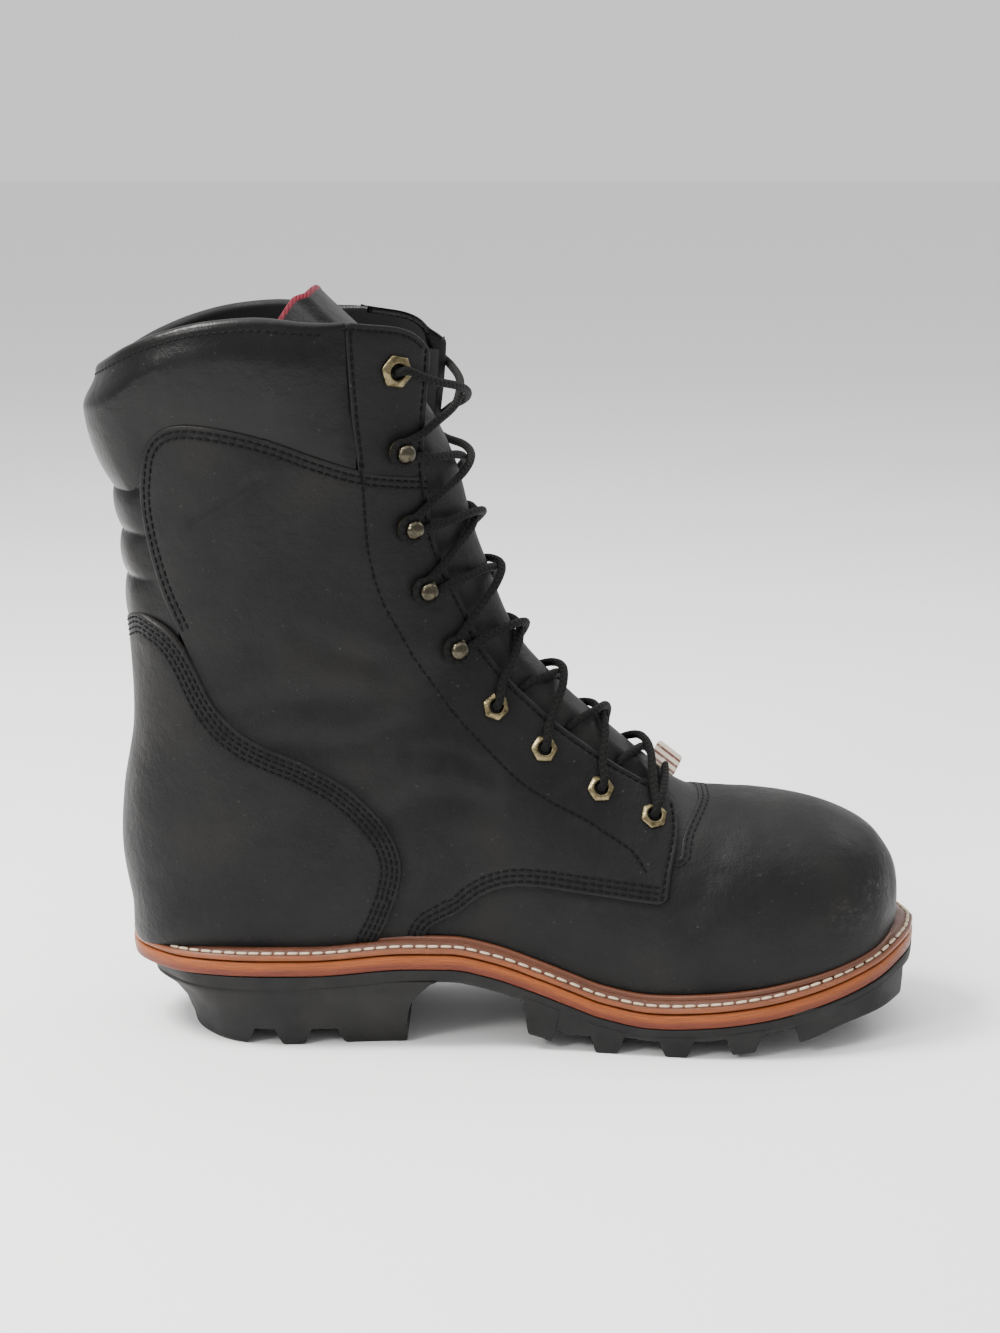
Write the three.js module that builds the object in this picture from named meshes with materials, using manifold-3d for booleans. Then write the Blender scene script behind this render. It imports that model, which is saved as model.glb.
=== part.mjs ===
// Logger boot for the left foot: a nine inch lace-up work boot, as separate pieces.
// Millimetres, +Z up, +X to the toe, -Y to the inner side of the foot.
import * as THREE from "three";
import { mergeVertices } from "three/addons/utils/BufferGeometryUtils.js";
import Module from "manifold-3d";

const wasm = await Module();
wasm.setup();

// Sizes of the last, measured from its heel back along the floor
const LAST_LENGTH = 304;
const BALL_WIDTH = 94.5;
const HEEL_WIDTH = 70;
const INSTEP_HEIGHT = 133;
const SHAFT_RISE = 247.3;
const FORM_SINK = 7;

// Sizes of the upper
const WALL = 2.5;
const OVERLAY = 1.2;
const COLLAR_PAD = 9.3;
const COLLAR_SIDE_PAD = 5;
const RIB_RISE = 2.4;
const THROAT_HALF = 24;
const TONGUE_THICK = 3;
const TONGUE_LAP = 10;
const TONGUE_LEAN = 57;

// Sizes of the sole
const HEEL_HEIGHT = 29.5;
const BALL_HEIGHT = 11.6;
const TOE_SPRING = 21.9;
const RUBBER_BASE = 5;
const MIDSOLE_THICK = 6.2;
const WELT_THICK = 4;
const WELT_SHELF = 8;
const HEEL_SHELF = 4;
const WELT_MARGIN = 6;
const LIP_RISE = 3;
const LIP_WIDTH = 2.2;
const LIP_INSET = 0.8;
const INSOLE_THICK = 3;
const LUG_TAPER = 0.8;
const BASE_TAPER = 0.8;
const HEEL_BASE_SLOPE = 5;
const HEEL_BASE_REACH = 60;
const LUG_CHANNEL = 7;
const LUG_CHANNEL_DEPTH = 5.5;
const GROOVE_FLARE = 1.5;
const GROOVE_DEPTH = 7;
const HEEL_UNDERCUT = 26.5;
const HEEL_TAPER = 2.5;
const HEEL_BREAST_TAPER = 7;
const HEEL_FILLET = 8.5;
const HEEL_TREAD_START = 28.5;
const HEEL_TREAD_LENGTH = 80;

// Sizes of the lacing
const EYELET_INSET = 12;
const EYELET_HOLE = 2.3;
const EYELET_BARREL = 3;
const EYELET_FLANGE = 5.4;
const TOP_EYELET_SCALE = 1.2;
const FLANGE_THICK = 1.2;
const FLANGE_DRAFT = 0.9;
const HOOK_BASE = 5;
const HOOK_NECK = 1.8;
const HOOK_HEAD = 3.4;
const HOOK_HEIGHT = 6.8;
const HOOK_WAIST = 0.6;
const HOOK_SHOULDER = 0.9;
const HOOK_CROWN = 0.75;
const LACE_RADIUS = 1.5;
const KEEPER_LENGTH = 12;
const KEEPER_WIDTH = 11;
const KEEPER_THICK = 1.2;

// Clearances: between pieces that touch, and under hardware on the curved leather
const GAP = 0.3;
const SEAT_GAP = 0.6;

// Numbers of sides of the small round pieces
const ROUND_SIDES = 8;
const HEX_SIDES = 6;
const LACE_SIDES = 5;

// Worked out from the sizes above
const SOLE_LENGTH = HEEL_SHELF + LAST_LENGTH + WELT_SHELF;
const BALL_SOLE_WIDTH = BALL_WIDTH + 2 * WELT_SHELF;
const HEEL_SOLE_WIDTH = HEEL_WIDTH + 2 * WELT_SHELF;
const SEAT_RISE = MIDSOLE_THICK + WELT_THICK;
const HEEL_SEAT = HEEL_HEIGHT + SEAT_RISE;
const BALL_SEAT = BALL_HEIGHT + SEAT_RISE;
const ANKLE_Z = BALL_SEAT + INSTEP_HEIGHT;
const COLLAR_Z = HEEL_SEAT + SHAFT_RISE;
const BEYOND = 60;

function table(columns, rows) {
  return rows.map((row) => Object.fromEntries(columns.map((name, i) => [name, row[i]])));
}

// Sections of the foot, from the toe tip to the waist: x as shares of the last's length, the crest
// as a share of the instep, half widths as shares of the ball, sink as a share of the form's sink
const FOOT_SECTIONS = table(
  ["bottomX", "sink", "crestX", "crest", "inner", "outer", "middle", "lowPower", "topPower", "lean"],
  [
    [1.002, -1.9, 1.002, 0.243, 0.003, 0.003, 0.45, 2.4, 2.2, -1],
    [0.9974, 0.1, 0.9974, 0.325, 0.132, 0.132, 0.42, 2.6, 2.2, -1],
    [0.9855, 0.7, 0.9855, 0.381, 0.228, 0.228, 0.38, 3.0, 2.2, -1],
    [0.9655, 0.9, 0.9655, 0.436, 0.328, 0.317, 0.36, 3.6, 2.2, -1],
    [0.936, 1.0, 0.936, 0.478, 0.407, 0.397, 0.35, 4.2, 2.2, -1],
    [0.896, 1.0, 0.896, 0.511, 0.466, 0.466, 0.34, 4.6, 2.2, -0.5],
    [0.847, 1.0, 0.847, 0.533, 0.497, 0.519, 0.33, 5.0, 2.2, 0],
    [0.791, 1.0, 0.791, 0.545, 0.508, 0.556, 0.32, 5.0, 2.15, 0],
    [0.722, 1.0, 0.735, 0.555, 0.492, 0.561, 0.31, 5.0, 2.1, 0],
    [0.632, 1.1, 0.696, 0.602, 0.455, 0.54, 0.29, 5.0, 2.1, 0],
    [0.533, 1.6, 0.653, 0.682, 0.407, 0.492, 0.27, 4.8, 2.1, 0],
    [0.428, 1.9, 0.612, 0.764, 0.376, 0.45, 0.27, 4.6, 2.1, 0],
    [0.316, 1.4, 0.572, 0.844, 0.381, 0.429, 0.27, 4.4, 2.0, 0],
  ],
);

// Sections of the heel and shaft: the back's height as a share of the shaft's rise, the front's
// as a share of the way from ankle to collar, half widths as shares of the heel, lean in millimetres
const SHAFT_SECTIONS = table(
  ["backX", "back", "crestX", "crest", "inner", "outer", "middle", "lowPower", "topPower", "lean"],
  [
    [0.197, -0.031, 0.538, -0.078, 0.536, 0.564, 0.27, 4.2, 2.0, 0],
    [0.086, -0.031, 0.508, 0, 0.55, 0.564, 0.28, 3.4, 2.0, 0],
    [0.008, -0.021, 0.487, 0.085, 0.55, 0.557, 0.3, 2.6, 2.0, 0],
    [-0.003, 0.05, 0.472, 0.168, 0.55, 0.557, 0.32, 2.4, 2.0, 0],
    [-0.0135, 0.139, 0.46, 0.247, 0.55, 0.557, 0.35, 2.4, 2.0, 0],
    [-0.009, 0.236, 0.447, 0.327, 0.55, 0.557, 0.38, 2.4, 2.0, 0],
    [0.0056, 0.341, 0.437, 0.406, 0.55, 0.557, 0.41, 2.4, 2.0, 0.2],
    [0.0056, 0.446, 0.429, 0.486, 0.564, 0.571, 0.44, 2.4, 2.05, 0.7],
    [-0.0016, 0.559, 0.423, 0.576, 0.586, 0.593, 0.46, 2.4, 2.12, 1.4],
    [-0.0085, 0.672, 0.42, 0.675, 0.614, 0.621, 0.47, 2.4, 2.2, 2.2],
    [-0.0235, 0.786, 0.419, 0.781, 0.643, 0.65, 0.48, 2.4, 2.28, 3],
    [-0.0243, 0.899, 0.419, 0.894, 0.664, 0.671, 0.48, 2.4, 2.3, 3.2],
    [-0.0243, 1.004, 0.419, 1.023, 0.679, 0.686, 0.48, 2.4, 2.3, 3.2],
    [-0.0243, 1.1, 0.419, 1.19, 0.693, 0.7, 0.48, 2.4, 2.3, 3.2],
  ],
);

// Outline of the sole: share of its length, inner and outer half widths as shares of its width
const HEEL_OUTLINE = table(
  ["along", "inner", "outer"],
  [
    [0, 0, 0],
    [0.012, 0.18, 0.18],
    [0.04, 0.318, 0.322],
    [0.08, 0.425, 0.42],
    [0.14, 0.486, 0.485],
    [0.2, 0.502, 0.505],
    [0.28, 0.5, 0.515],
  ],
);
const BALL_OUTLINE = table(
  ["along", "inner", "outer"],
  [
    [0.36, 0.388, 0.415],
    [0.44, 0.386, 0.435],
    [0.52, 0.4, 0.46],
    [0.6, 0.428, 0.495],
    [0.68, 0.463, 0.52],
    [0.745, 0.48, 0.52],
    [0.81, 0.471, 0.489],
    [0.87, 0.43, 0.425],
    [0.92, 0.362, 0.358],
    [0.96, 0.267, 0.282],
    [0.988, 0.145, 0.172],
    [1, 0, 0],
  ],
);

// Side view of the rubber's top: shares of the heel's lift and of the toe spring along the sole
const HEEL_CURVE = table(
  ["along", "share"],
  [
    [0, 1],
    [0.24, 1.03],
    [0.36, 1.19],
    [0.41, 1.18],
    [0.46, 1.01],
    [0.52, 0.66],
    [0.56, 0.4],
    [0.6, 0.16],
    [0.66, 0],
    [1, 0],
  ],
);
const TOE_CURVE = table(
  ["along", "share"],
  [
    [0, 0],
    [0.67, 0],
    [0.73, 0.055],
    [0.8, 0.19],
    [0.87, 0.41],
    [0.94, 0.7],
    [1, 1],
  ],
);

// Underside of the front lugs, as shares of the toe spring
const LUG_CURVE = table(
  ["along", "share"],
  [
    [0, 0.3],
    [0.5, 0.3],
    [0.52, 0.25],
    [0.56, 0],
    [0.713, 0],
    [0.745, 0.05],
    [0.79, 0.13],
    [0.84, 0.25],
    [0.905, 0.53],
    [0.95, 0.64],
    [1, 0.8],
  ],
);
const LUGS_START = 0.502;
const LUGS_END = 0.978;
const FRONT_GROOVES = table(
  ["start", "end"],
  [
    [0.544, 0.582],
    [0.626, 0.668],
    [0.711, 0.75],
    [0.795, 0.833],
  ],
);
const CHANNEL_SHARE = 0.16;
const COUNTER_ROOM = 0.4;
const CHANNEL_END = 0.833;

// Heel block by height: shares of its height, undercut, taper and fillet
const HEEL_LEVELS = table(
  ["height", "back", "side", "breast"],
  [
    [0, 0.9, 1, 0],
    [0.16, 0.87, 0.86, 0],
    [0.52, 0.74, 0.5, 0],
    [0.79, 0.53, 0.25, 0.25],
    [0.94, 0.3, 0.1, 0.6],
    [1.2, 0, 0, 1.4],
  ],
);
const HEEL_GROOVES = table(
  ["start", "end"],
  [
    [0.231, 0.37],
    [0.512, 0.675],
  ],
);

// Half width of the throat along the stations, as shares of its widest
const THROAT = table(
  ["station", "half"],
  [
    [8.85, 0.56],
    [9.05, 0.7],
    [9.5, 0.71],
    [10.5, 0.73],
    [12, 0.69],
    [14, 0.68],
    [16, 0.72],
    [18, 0.83],
    [20, 0.93],
    [22, 0.99],
    [24, 0.96],
    [26, 0.93],
  ],
);

// Lacing from the lowest pair to the top one: station and share of the eyelets' inset
const LACING = table(
  ["kind", "station", "inset"],
  [
    ["eyelet", 9.25, 1.1],
    ["eyelet", 10.5, 1.05],
    ["eyelet", 11.95, 1],
    ["eyelet", 13.5, 1],
    ["hook", 15.6, 0.95],
    ["hook", 17.8, 1],
    ["hook", 19.8, 0.85],
    ["hook", 21.8, 0.95],
    ["eyelet", 23.65, 1.3],
  ],
);

// Edges of the panels in side view: x as a share of the last's length, z of the shaft's rise
const QUARTER_TOP_EDGE = table(
  ["x", "z"],
  [
    [0.041, 0.8],
    [0.063, 0.826],
    [0.095, 0.834],
    [0.14, 0.828],
    [0.19, 0.812],
    [0.25, 0.785],
    [0.292, 0.768],
  ],
);
const QUARTER_LOW_EDGE = table(
  ["x", "z"],
  [
    [0.74, 0.32],
    [0.707, 0.205],
    [0.692, 0.1],
    [0.687, 0.085],
    [0.638, 0.088],
    [0.582, 0.095],
    [0.53, 0.102],
    [0.487, 0.102],
    [0.454, 0.087],
    [0.424, 0.058],
    [0.39, 0.034],
    [0.36, -0.15],
    [0.1, -0.15],
    [0.1, 0.42],
    [0.066, 0.535],
    [0.053, 0.575],
    [0.04, 0.637],
    [0.031, 0.698],
    [0.032, 0.75],
  ],
);
const FACING_EDGE = table(
  ["x", "z"],
  [
    [0.29, 0.9],
    [0.287, 1.15],
    [0.6, 1.15],
  ],
);
const QUARTER_EDGE = [...QUARTER_LOW_EDGE, ...QUARTER_TOP_EDGE, ...FACING_EDGE];
const COUNTER_EDGE = table(
  ["x", "z"],
  [
    [-0.2, 0.48],
    [-0.01, 0.49],
    [0.015, 0.532],
    [0.048, 0.522],
    [0.07, 0.502],
    [0.09, 0.47],
    [0.107, 0.425],
    [0.124, 0.388],
    [0.15, 0.357],
    [0.182, 0.332],
    [0.233, 0.304],
    [0.28, 0.268],
    [0.317, 0.227],
    [0.342, 0.183],
    [0.352, 0.137],
    [0.345, 0.09],
    [0.33, 0.04],
    [0.31, -0.15],
    [-0.2, -0.15],
  ],
);
const TOP_EDGE = table(
  ["x", "z"],
  [
    [-0.15, 0.84],
    [-0.053, 0.894],
    [-0.033, 0.908],
    [-0.013, 0.923],
    [0.01, 0.943],
    [0.031, 0.957],
    [0.068, 0.974],
    [0.118, 0.989],
    [0.183, 0.996],
    [0.24, 0.989],
    [0.29, 0.987],
    [0.345, 0.979],
    [0.378, 0.961],
    [0.391, 0.94],
    [0.5, 0.86],
  ],
);

// Ribs at the back of the ankle, from the counter up to the collar pad, as heights at the back
const RIB_EDGES = [0.487, 0.587, 0.658, 0.728];
const PAD_BOTTOM = 0.728;
const PAD_TOP = 0.93;
const PAD_SEAM_X = 0.292;
const PAD_BACK_X = 0.04;
const RIB_FRONT_X = 0.06;

// Shape of the swelling: how it rises, thins towards the sides and seam, and rolls in at the rim
const PAD_ROUNDING = 2.2;
const PAD_SIDE_LIFT = 0.04;
const PAD_SIDE_X = 0.15;
const PAD_THIN_FROM_X = -0.03;
const PAD_THIN_TO_X = 0.1;
const PAD_SEAM_EASE = 0.09;
const PAD_RIM_FROM = 0.86;
const PAD_RIM_TO = 1.1;
const PAD_RIM_DROP = 0.75;
const PAD_HIDDEN = -0.4;

const mix = (a, b, share) => a + (b - a) * share;
const clamp = (value) => Math.min(1, Math.max(0, value));
const ease = (from, to, value) => {
  const share = clamp((value - from) / (to - from));
  return share * share * (3 - 2 * share);
};

// Smooth curve through equally spaced rows of numbers
function spline(rows, at) {
  const last = rows.length - 1;
  const place = Math.min(Math.max(at, 0), last);
  const index = Math.min(Math.floor(place), last - 1);
  const f = place - index;
  const before = rows[Math.max(index - 1, 0)];
  const start = rows[index];
  const end = rows[index + 1];
  const after = rows[Math.min(index + 2, last)];
  return start.map((value, i) => {
    const slope = end[i] - before[i];
    const bend = 2 * before[i] - 5 * value + 4 * end[i] - after[i];
    const twist = 3 * value - before[i] - 3 * end[i] + after[i];
    return 0.5 * (2 * value + slope * f + bend * f ** 2 + twist * f ** 3);
  });
}

// Curve through a table without overshoot
function curve(rows, key, column, at) {
  const last = rows.length - 1;
  const place = Math.min(Math.max(at, rows[0][key]), rows[last][key]);
  let index = 0;
  while (index < last - 1 && rows[index + 1][key] < place) {
    index += 1;
  }
  const step = (i) => rows[i + 1][key] - rows[i][key];
  const rise = (i) => (rows[i + 1][column] - rows[i][column]) / step(i);
  const slope = (i) => {
    if (i === 0 || i === last || rise(i - 1) * rise(i) <= 0) {
      return 0;
    }
    const first = 2 * step(i) + step(i - 1);
    const second = step(i) + 2 * step(i - 1);
    return (first + second) / (first / rise(i - 1) + second / rise(i));
  };
  const h = step(index);
  const t = (place - rows[index][key]) / h;
  const low = (2 * t ** 3 - 3 * t ** 2 + 1) * rows[index][column];
  const high = (3 * t ** 2 - 2 * t ** 3) * rows[index + 1][column];
  const leave = (t ** 3 - 2 * t ** 2 + t) * h * slope(index);
  const arrive = (t ** 3 - t ** 2) * h * slope(index + 1);
  return low + high + leave + arrive;
}

// Heights along the sole
const alongSole = (x) => (x + HEEL_SHELF) / SOLE_LENGTH;
function rubberTop(x) {
  const along = alongSole(x);
  const heel = curve(HEEL_CURVE, "along", "share", along) * (HEEL_HEIGHT - BALL_HEIGHT);
  return BALL_HEIGHT + heel + curve(TOE_CURVE, "along", "share", along) * TOE_SPRING;
}
const seat = (x) => rubberTop(x) + SEAT_RISE;
const lugBottom = (x) => curve(LUG_CURVE, "along", "share", alongSole(x)) * TOE_SPRING;
const midsoleTop = (x) => rubberTop(x) + MIDSOLE_THICK;

// Sections as numbers: bottom x and z, crest x and z, half widths, middle, powers and lean
const SECTIONS = [
  ...FOOT_SECTIONS.map((row) => {
    const bottomX = row.bottomX * LAST_LENGTH;
    return [
      bottomX,
      seat(bottomX) - row.sink * FORM_SINK,
      row.crestX * LAST_LENGTH,
      BALL_SEAT + row.crest * INSTEP_HEIGHT,
      row.inner * BALL_WIDTH,
      row.outer * BALL_WIDTH,
      row.middle,
      row.lowPower,
      row.topPower,
      row.lean,
    ];
  }),
  ...SHAFT_SECTIONS.map((row) => [
    row.backX * LAST_LENGTH,
    HEEL_SEAT + row.back * SHAFT_RISE,
    row.crestX * LAST_LENGTH,
    mix(ANKLE_Z, COLLAR_Z, row.crest),
    row.inner * HEEL_WIDTH,
    row.outer * HEEL_WIDTH,
    row.middle,
    row.lowPower,
    row.topPower,
    row.lean,
  ]),
];
const LAST_STATION = SECTIONS.length - 1;

// Point of the form at a station along the rows and an angle round from the crest, + to the outside
function formPoint(station, angle) {
  const [bottomX, bottomZ, crestX, crestZ, inner, outer, middle, low, top, lean] = spline(
    SECTIONS,
    station,
  );
  const height = Math.hypot(crestX - bottomX, crestZ - bottomZ);
  const half = Math.sin(angle) < 0 ? inner : outer;
  const cos = Math.cos(angle);
  const power = cos > 0 ? top : low;
  const rise = Math.sign(cos) * Math.abs(cos) ** (2 / power);
  const reach = Math.abs(Math.sin(angle)) ** (2 / power);
  const up = middle * height + (cos > 0 ? 1 - middle : middle) * height * rise;
  return new THREE.Vector3(
    bottomX + ((crestX - bottomX) * up) / height,
    Math.sign(Math.sin(angle)) * half * reach + (lean * up) / height,
    bottomZ + ((crestZ - bottomZ) * up) / height,
  );
}

function formNormal(station, angle) {
  const step = 0.002;
  const after = formPoint(Math.min(station + step, LAST_STATION), angle);
  const before = formPoint(Math.max(station - step, 0), angle);
  const along = after.sub(before);
  const round = formPoint(station, angle + step).sub(formPoint(station, angle - step));
  return round.cross(along).normalize();
}

function offForm(station, angle, level) {
  return formPoint(station, angle).addScaledVector(formNormal(station, angle), level);
}

// A closed solid from points and triangles
function solidOf(points, faces) {
  const geometry = new THREE.BufferGeometry();
  const flat = faces.flat().flatMap((i) => points[i].toArray());
  geometry.setAttribute("position", new THREE.Float32BufferAttribute(flat, 3));
  return toSolid(geometry);
}

function toSolid(source) {
  const bare = source.clone();
  bare.deleteAttribute("normal");
  bare.deleteAttribute("uv");
  const merged = mergeVertices(bare, 1e-4);
  const index = Array.from(merged.index.array);
  const triVerts = [];
  for (let i = 0; i < index.length; i += 3) {
    const [a, b, c] = index.slice(i, i + 3);
    if (a !== b && b !== c && c !== a) {
      triVerts.push(a, b, c);
    }
  }
  const mesh = new wasm.Mesh({
    numProp: 3,
    vertProperties: new Float32Array(merged.attributes.position.array),
    triVerts: new Uint32Array(triVerts),
  });
  return new wasm.Manifold(mesh);
}

function toGeometry(solid) {
  const mesh = solid.getMesh();
  const geometry = new THREE.BufferGeometry();
  geometry.setAttribute("position", new THREE.Float32BufferAttribute(mesh.vertProperties, 3));
  geometry.setIndex(Array.from(mesh.triVerts));
  geometry.computeVertexNormals();
  return geometry;
}

// Closed skin from rings of points, with both ends filled from a point of their own
function skinOf(rings, startPoint, endPoint) {
  const size = rings[0].length;
  const points = [...rings.flat(), startPoint, endPoint];
  const start = points.length - 2;
  const end = points.length - 1;
  const faces = [];
  for (let i = 0; i < rings.length - 1; i += 1) {
    for (let j = 0; j < size; j += 1) {
      const a = i * size + j;
      const b = i * size + ((j + 1) % size);
      faces.push([a, b, a + size], [b, b + size, a + size]);
    }
  }
  const top = (rings.length - 1) * size;
  for (let j = 0; j < size; j += 1) {
    const next = (j + 1) % size;
    faces.push([start, next, j], [end, top + j, top + next]);
  }
  return solidOf(points, faces);
}

// The form of the last and leg, grown or shrunk by a level
const TOE_STATIONS = [0.4, 0.9, 1.5, 2.3, 3.3, 4.4, 5.7, 7, 8.2, 9.2, 10.2];
const ROUND_STEPS = 24;
function form(level) {
  const stations = [...TOE_STATIONS];
  for (let station = 11; station <= LAST_STATION; station += 1) {
    stations.push(station);
  }
  const rings = stations.map((station) =>
    Array.from({ length: ROUND_STEPS }, (_, j) =>
      offForm(station, (2 * Math.PI * j) / ROUND_STEPS, level),
    ),
  );
  const tip = formPoint(0, 0);
  tip.x += level;
  const top = formPoint(LAST_STATION, 0).add(formPoint(LAST_STATION, Math.PI)).multiplyScalar(0.5);
  top.z = rings.at(-1).reduce((sum, point) => sum + point.z, 0) / ROUND_STEPS;
  return skinOf(rings, tip, top);
}

// Places along the sole's outline: each row, with one between outside of the plain stretches
const PLAIN_STRETCHES = [
  [2, 9],
  [12, 15],
];
const OUTLINE_ROWS = [
  ...HEEL_OUTLINE.map((row) => ({ ...row, wide: HEEL_SOLE_WIDTH })),
  ...BALL_OUTLINE.map((row) => ({ ...row, wide: BALL_SOLE_WIDTH })),
];
const OUTLINE_PLACES = [];
for (let place = 0; place <= OUTLINE_ROWS.length - 1; place += 0.5) {
  const isPlain = PLAIN_STRETCHES.some(([start, end]) => place > start && place < end);
  if (!isPlain || Number.isInteger(place)) {
    OUTLINE_PLACES.push(place);
  }
}

// Inner and outer points of the sole's outline at each place, drawn in by an inset
function soleOutline(inset) {
  const rows = OUTLINE_ROWS.map((row) => [
    inset - HEEL_SHELF + row.along * (SOLE_LENGTH - 2 * inset),
    -row.inner * (row.wide - 2 * inset),
    row.outer * (row.wide - 2 * inset),
  ]);
  const mirrored = (row) => [row[0], -row[2], -row[1]];
  const closed = [mirrored(rows[1]), ...rows, mirrored(rows.at(-2))];
  return OUTLINE_PLACES.map((place) => {
    const [x, inner, outer] = spline(closed, place + 1);
    return { x, inner: Math.min(inner, 0), outer: Math.max(outer, 0) };
  });
}

// A slab between two heights along the sole, with its own outline below and above
function slab(bottomOutline, topOutline, bottomZ, topZ) {
  const row = (place, height) => [
    new THREE.Vector3(place.x, place.inner, height(place.x)),
    new THREE.Vector3(place.x, place.outer, height(place.x)),
  ];
  const points = bottomOutline.flatMap((place, i) => [
    ...row(place, bottomZ),
    ...row(topOutline[i], topZ),
  ]);
  const faces = [
    [0, 2, 1],
    [1, 2, 3],
  ];
  const size = 4;
  for (let i = 0; i < bottomOutline.length - 1; i += 1) {
    const a = i * size;
    const b = a + size;
    faces.push([a, a + 1, b], [b, a + 1, b + 1]);
    faces.push([a + 2, b + 2, a + 3], [b + 2, b + 3, a + 3]);
    faces.push([a, b, a + 2], [b, b + 2, a + 2]);
    faces.push([a + 1, a + 3, b + 1], [b + 1, a + 3, b + 3]);
  }
  const e = (bottomOutline.length - 1) * size;
  faces.push([e, e + 1, e + 2], [e + 1, e + 3, e + 2]);
  return solidOf(points, faces);
}

// A wide slab with the sole's places, for cutting at a height
function wideSlab(bottomZ, topZ) {
  const places = soleOutline(0).map((place) => ({ ...place, inner: -BEYOND * 2, outer: BEYOND * 2 }));
  places[0].x -= BEYOND;
  places.at(-1).x += BEYOND;
  return slab(places, places, bottomZ, topZ);
}

// A prism right across the boot from an outline in side view
function sidePrism(corners) {
  const halfWidth = 2 * BEYOND;
  const shape = new THREE.Shape(corners.map(([x, z]) => new THREE.Vector2(x, z)));
  const prism = new THREE.ExtrudeGeometry(shape, { depth: 2 * halfWidth, bevelEnabled: false });
  prism.rotateX(Math.PI / 2);
  prism.translate(0, halfWidth, 0);
  return toSolid(prism);
}
const panelCorners = (edge) =>
  edge.map((row) => [row.x * LAST_LENGTH, HEEL_SEAT + row.z * SHAFT_RISE]);

// Swell of the padded collar and of the ribs under it, by place on the back and sides
function swell(point) {
  const x = point.x / LAST_LENGTH;
  const z = (point.z - HEEL_SEAT) / SHAFT_RISE;
  const lowest = x < PAD_BACK_X ? PAD_BOTTOM : curve(QUARTER_TOP_EDGE, "x", "z", x);
  const highest = PAD_TOP + PAD_SIDE_LIFT * ease(0, PAD_SIDE_X, x);
  const up = (z - lowest) / (highest - lowest);
  const deep = mix(COLLAR_PAD, COLLAR_SIDE_PAD, ease(PAD_THIN_FROM_X, PAD_THIN_TO_X, x));
  const toSeam = Math.sqrt(clamp((PAD_SEAM_X - x) / PAD_SEAM_EASE));
  const bulge = deep * toSeam * (1 - (1 - clamp(up)) ** PAD_ROUNDING);
  if (up > 0) {
    return Math.max(bulge * (1 - PAD_RIM_DROP * ease(PAD_RIM_FROM, PAD_RIM_TO, up)), PAD_HIDDEN);
  }
  const rib = RIB_EDGES.findIndex((edge, i) => z >= edge && z < RIB_EDGES[i + 1]);
  if (rib < 0 || x > RIB_FRONT_X) {
    return PAD_HIDDEN;
  }
  const share = (z - RIB_EDGES[rib]) / (RIB_EDGES[rib + 1] - RIB_EDGES[rib]);
  return RIB_RISE * Math.sqrt(Math.sin(Math.PI * share));
}

// Collar pad and ribs as one swelling laid into the wall
function collar() {
  const startAngle = 1.02;
  const roundSteps = 12;
  const firstStation = 19.9;
  const lastStation = 25.6;
  const rows = 14;
  const backing = -WALL / 2;
  const outside = [];
  const inside = [];
  for (let i = 0; i <= rows; i += 1) {
    const station = mix(firstStation, lastStation, i / rows);
    for (let j = 0; j <= roundSteps; j += 1) {
      const angle = mix(startAngle, 2 * Math.PI - startAngle, j / roundSteps);
      const level = swell(formPoint(station, angle));
      outside.push(offForm(station, angle, level));
      inside.push(offForm(station, angle, backing));
    }
  }
  return sheetSolid(outside, inside, rows, roundSteps);
}

// A closed solid between two grids of points, the first one outside
function sheetSolid(outside, inside, rows, columns) {
  const wide = columns + 1;
  const count = outside.length;
  const faces = [];
  for (let i = 0; i < rows; i += 1) {
    for (let j = 0; j < columns; j += 1) {
      const a = i * wide + j;
      const b = a + wide;
      faces.push([a, a + 1, b], [a + 1, b + 1, b]);
      faces.push([count + a, count + b, count + a + 1], [count + a + 1, count + b, count + b + 1]);
    }
  }
  const wall = (a, b) => faces.push([a, count + a, b], [b, count + a, count + b]);
  for (let j = 0; j < columns; j += 1) {
    wall(j, j + 1);
    wall(rows * wide + j + 1, rows * wide + j);
  }
  for (let i = 0; i < rows; i += 1) {
    wall((i + 1) * wide, i * wide);
    wall(i * wide + columns, (i + 1) * wide + columns);
  }
  return solidOf([...outside, ...inside], faces);
}

// The throat: half width at a station, and angle of a place on the form by its reach sideways
const throatHalf = (station) => curve(THROAT, "station", "half", station) * THROAT_HALF;
function angleAt(station, y) {
  const [, , , , inner, outer, , , power, lean] = spline(SECTIONS, station);
  const aside = y - lean;
  const sine = Math.min(Math.abs(aside) / (aside < 0 ? inner : outer), 1) ** (power / 2);
  return Math.sign(aside) * Math.asin(sine);
}
const overForm = (station, y, level) => offForm(station, angleAt(station, y), level);

function throatCut() {
  const depth = 35;
  const height = 25;
  const stations = THROAT.map((row) => row.station);
  const rings = stations.map((station) => {
    const half = throatHalf(station);
    const crest = formPoint(station, 0);
    const normal = formNormal(station, 0);
    return [
      [-1, height],
      [1, height],
      [1, -depth],
      [-1, -depth],
    ].map(([side, up]) => {
      const corner = crest.clone().addScaledVector(normal, up);
      corner.y = side * half;
      return corner;
    });
  });
  const middle = (ring) =>
    ring.reduce((sum, corner) => sum.add(corner), new THREE.Vector3()).multiplyScalar(1 / ring.length);
  return skinOf(rings, middle(rings[0]), middle(rings.at(-1)));
}

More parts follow.
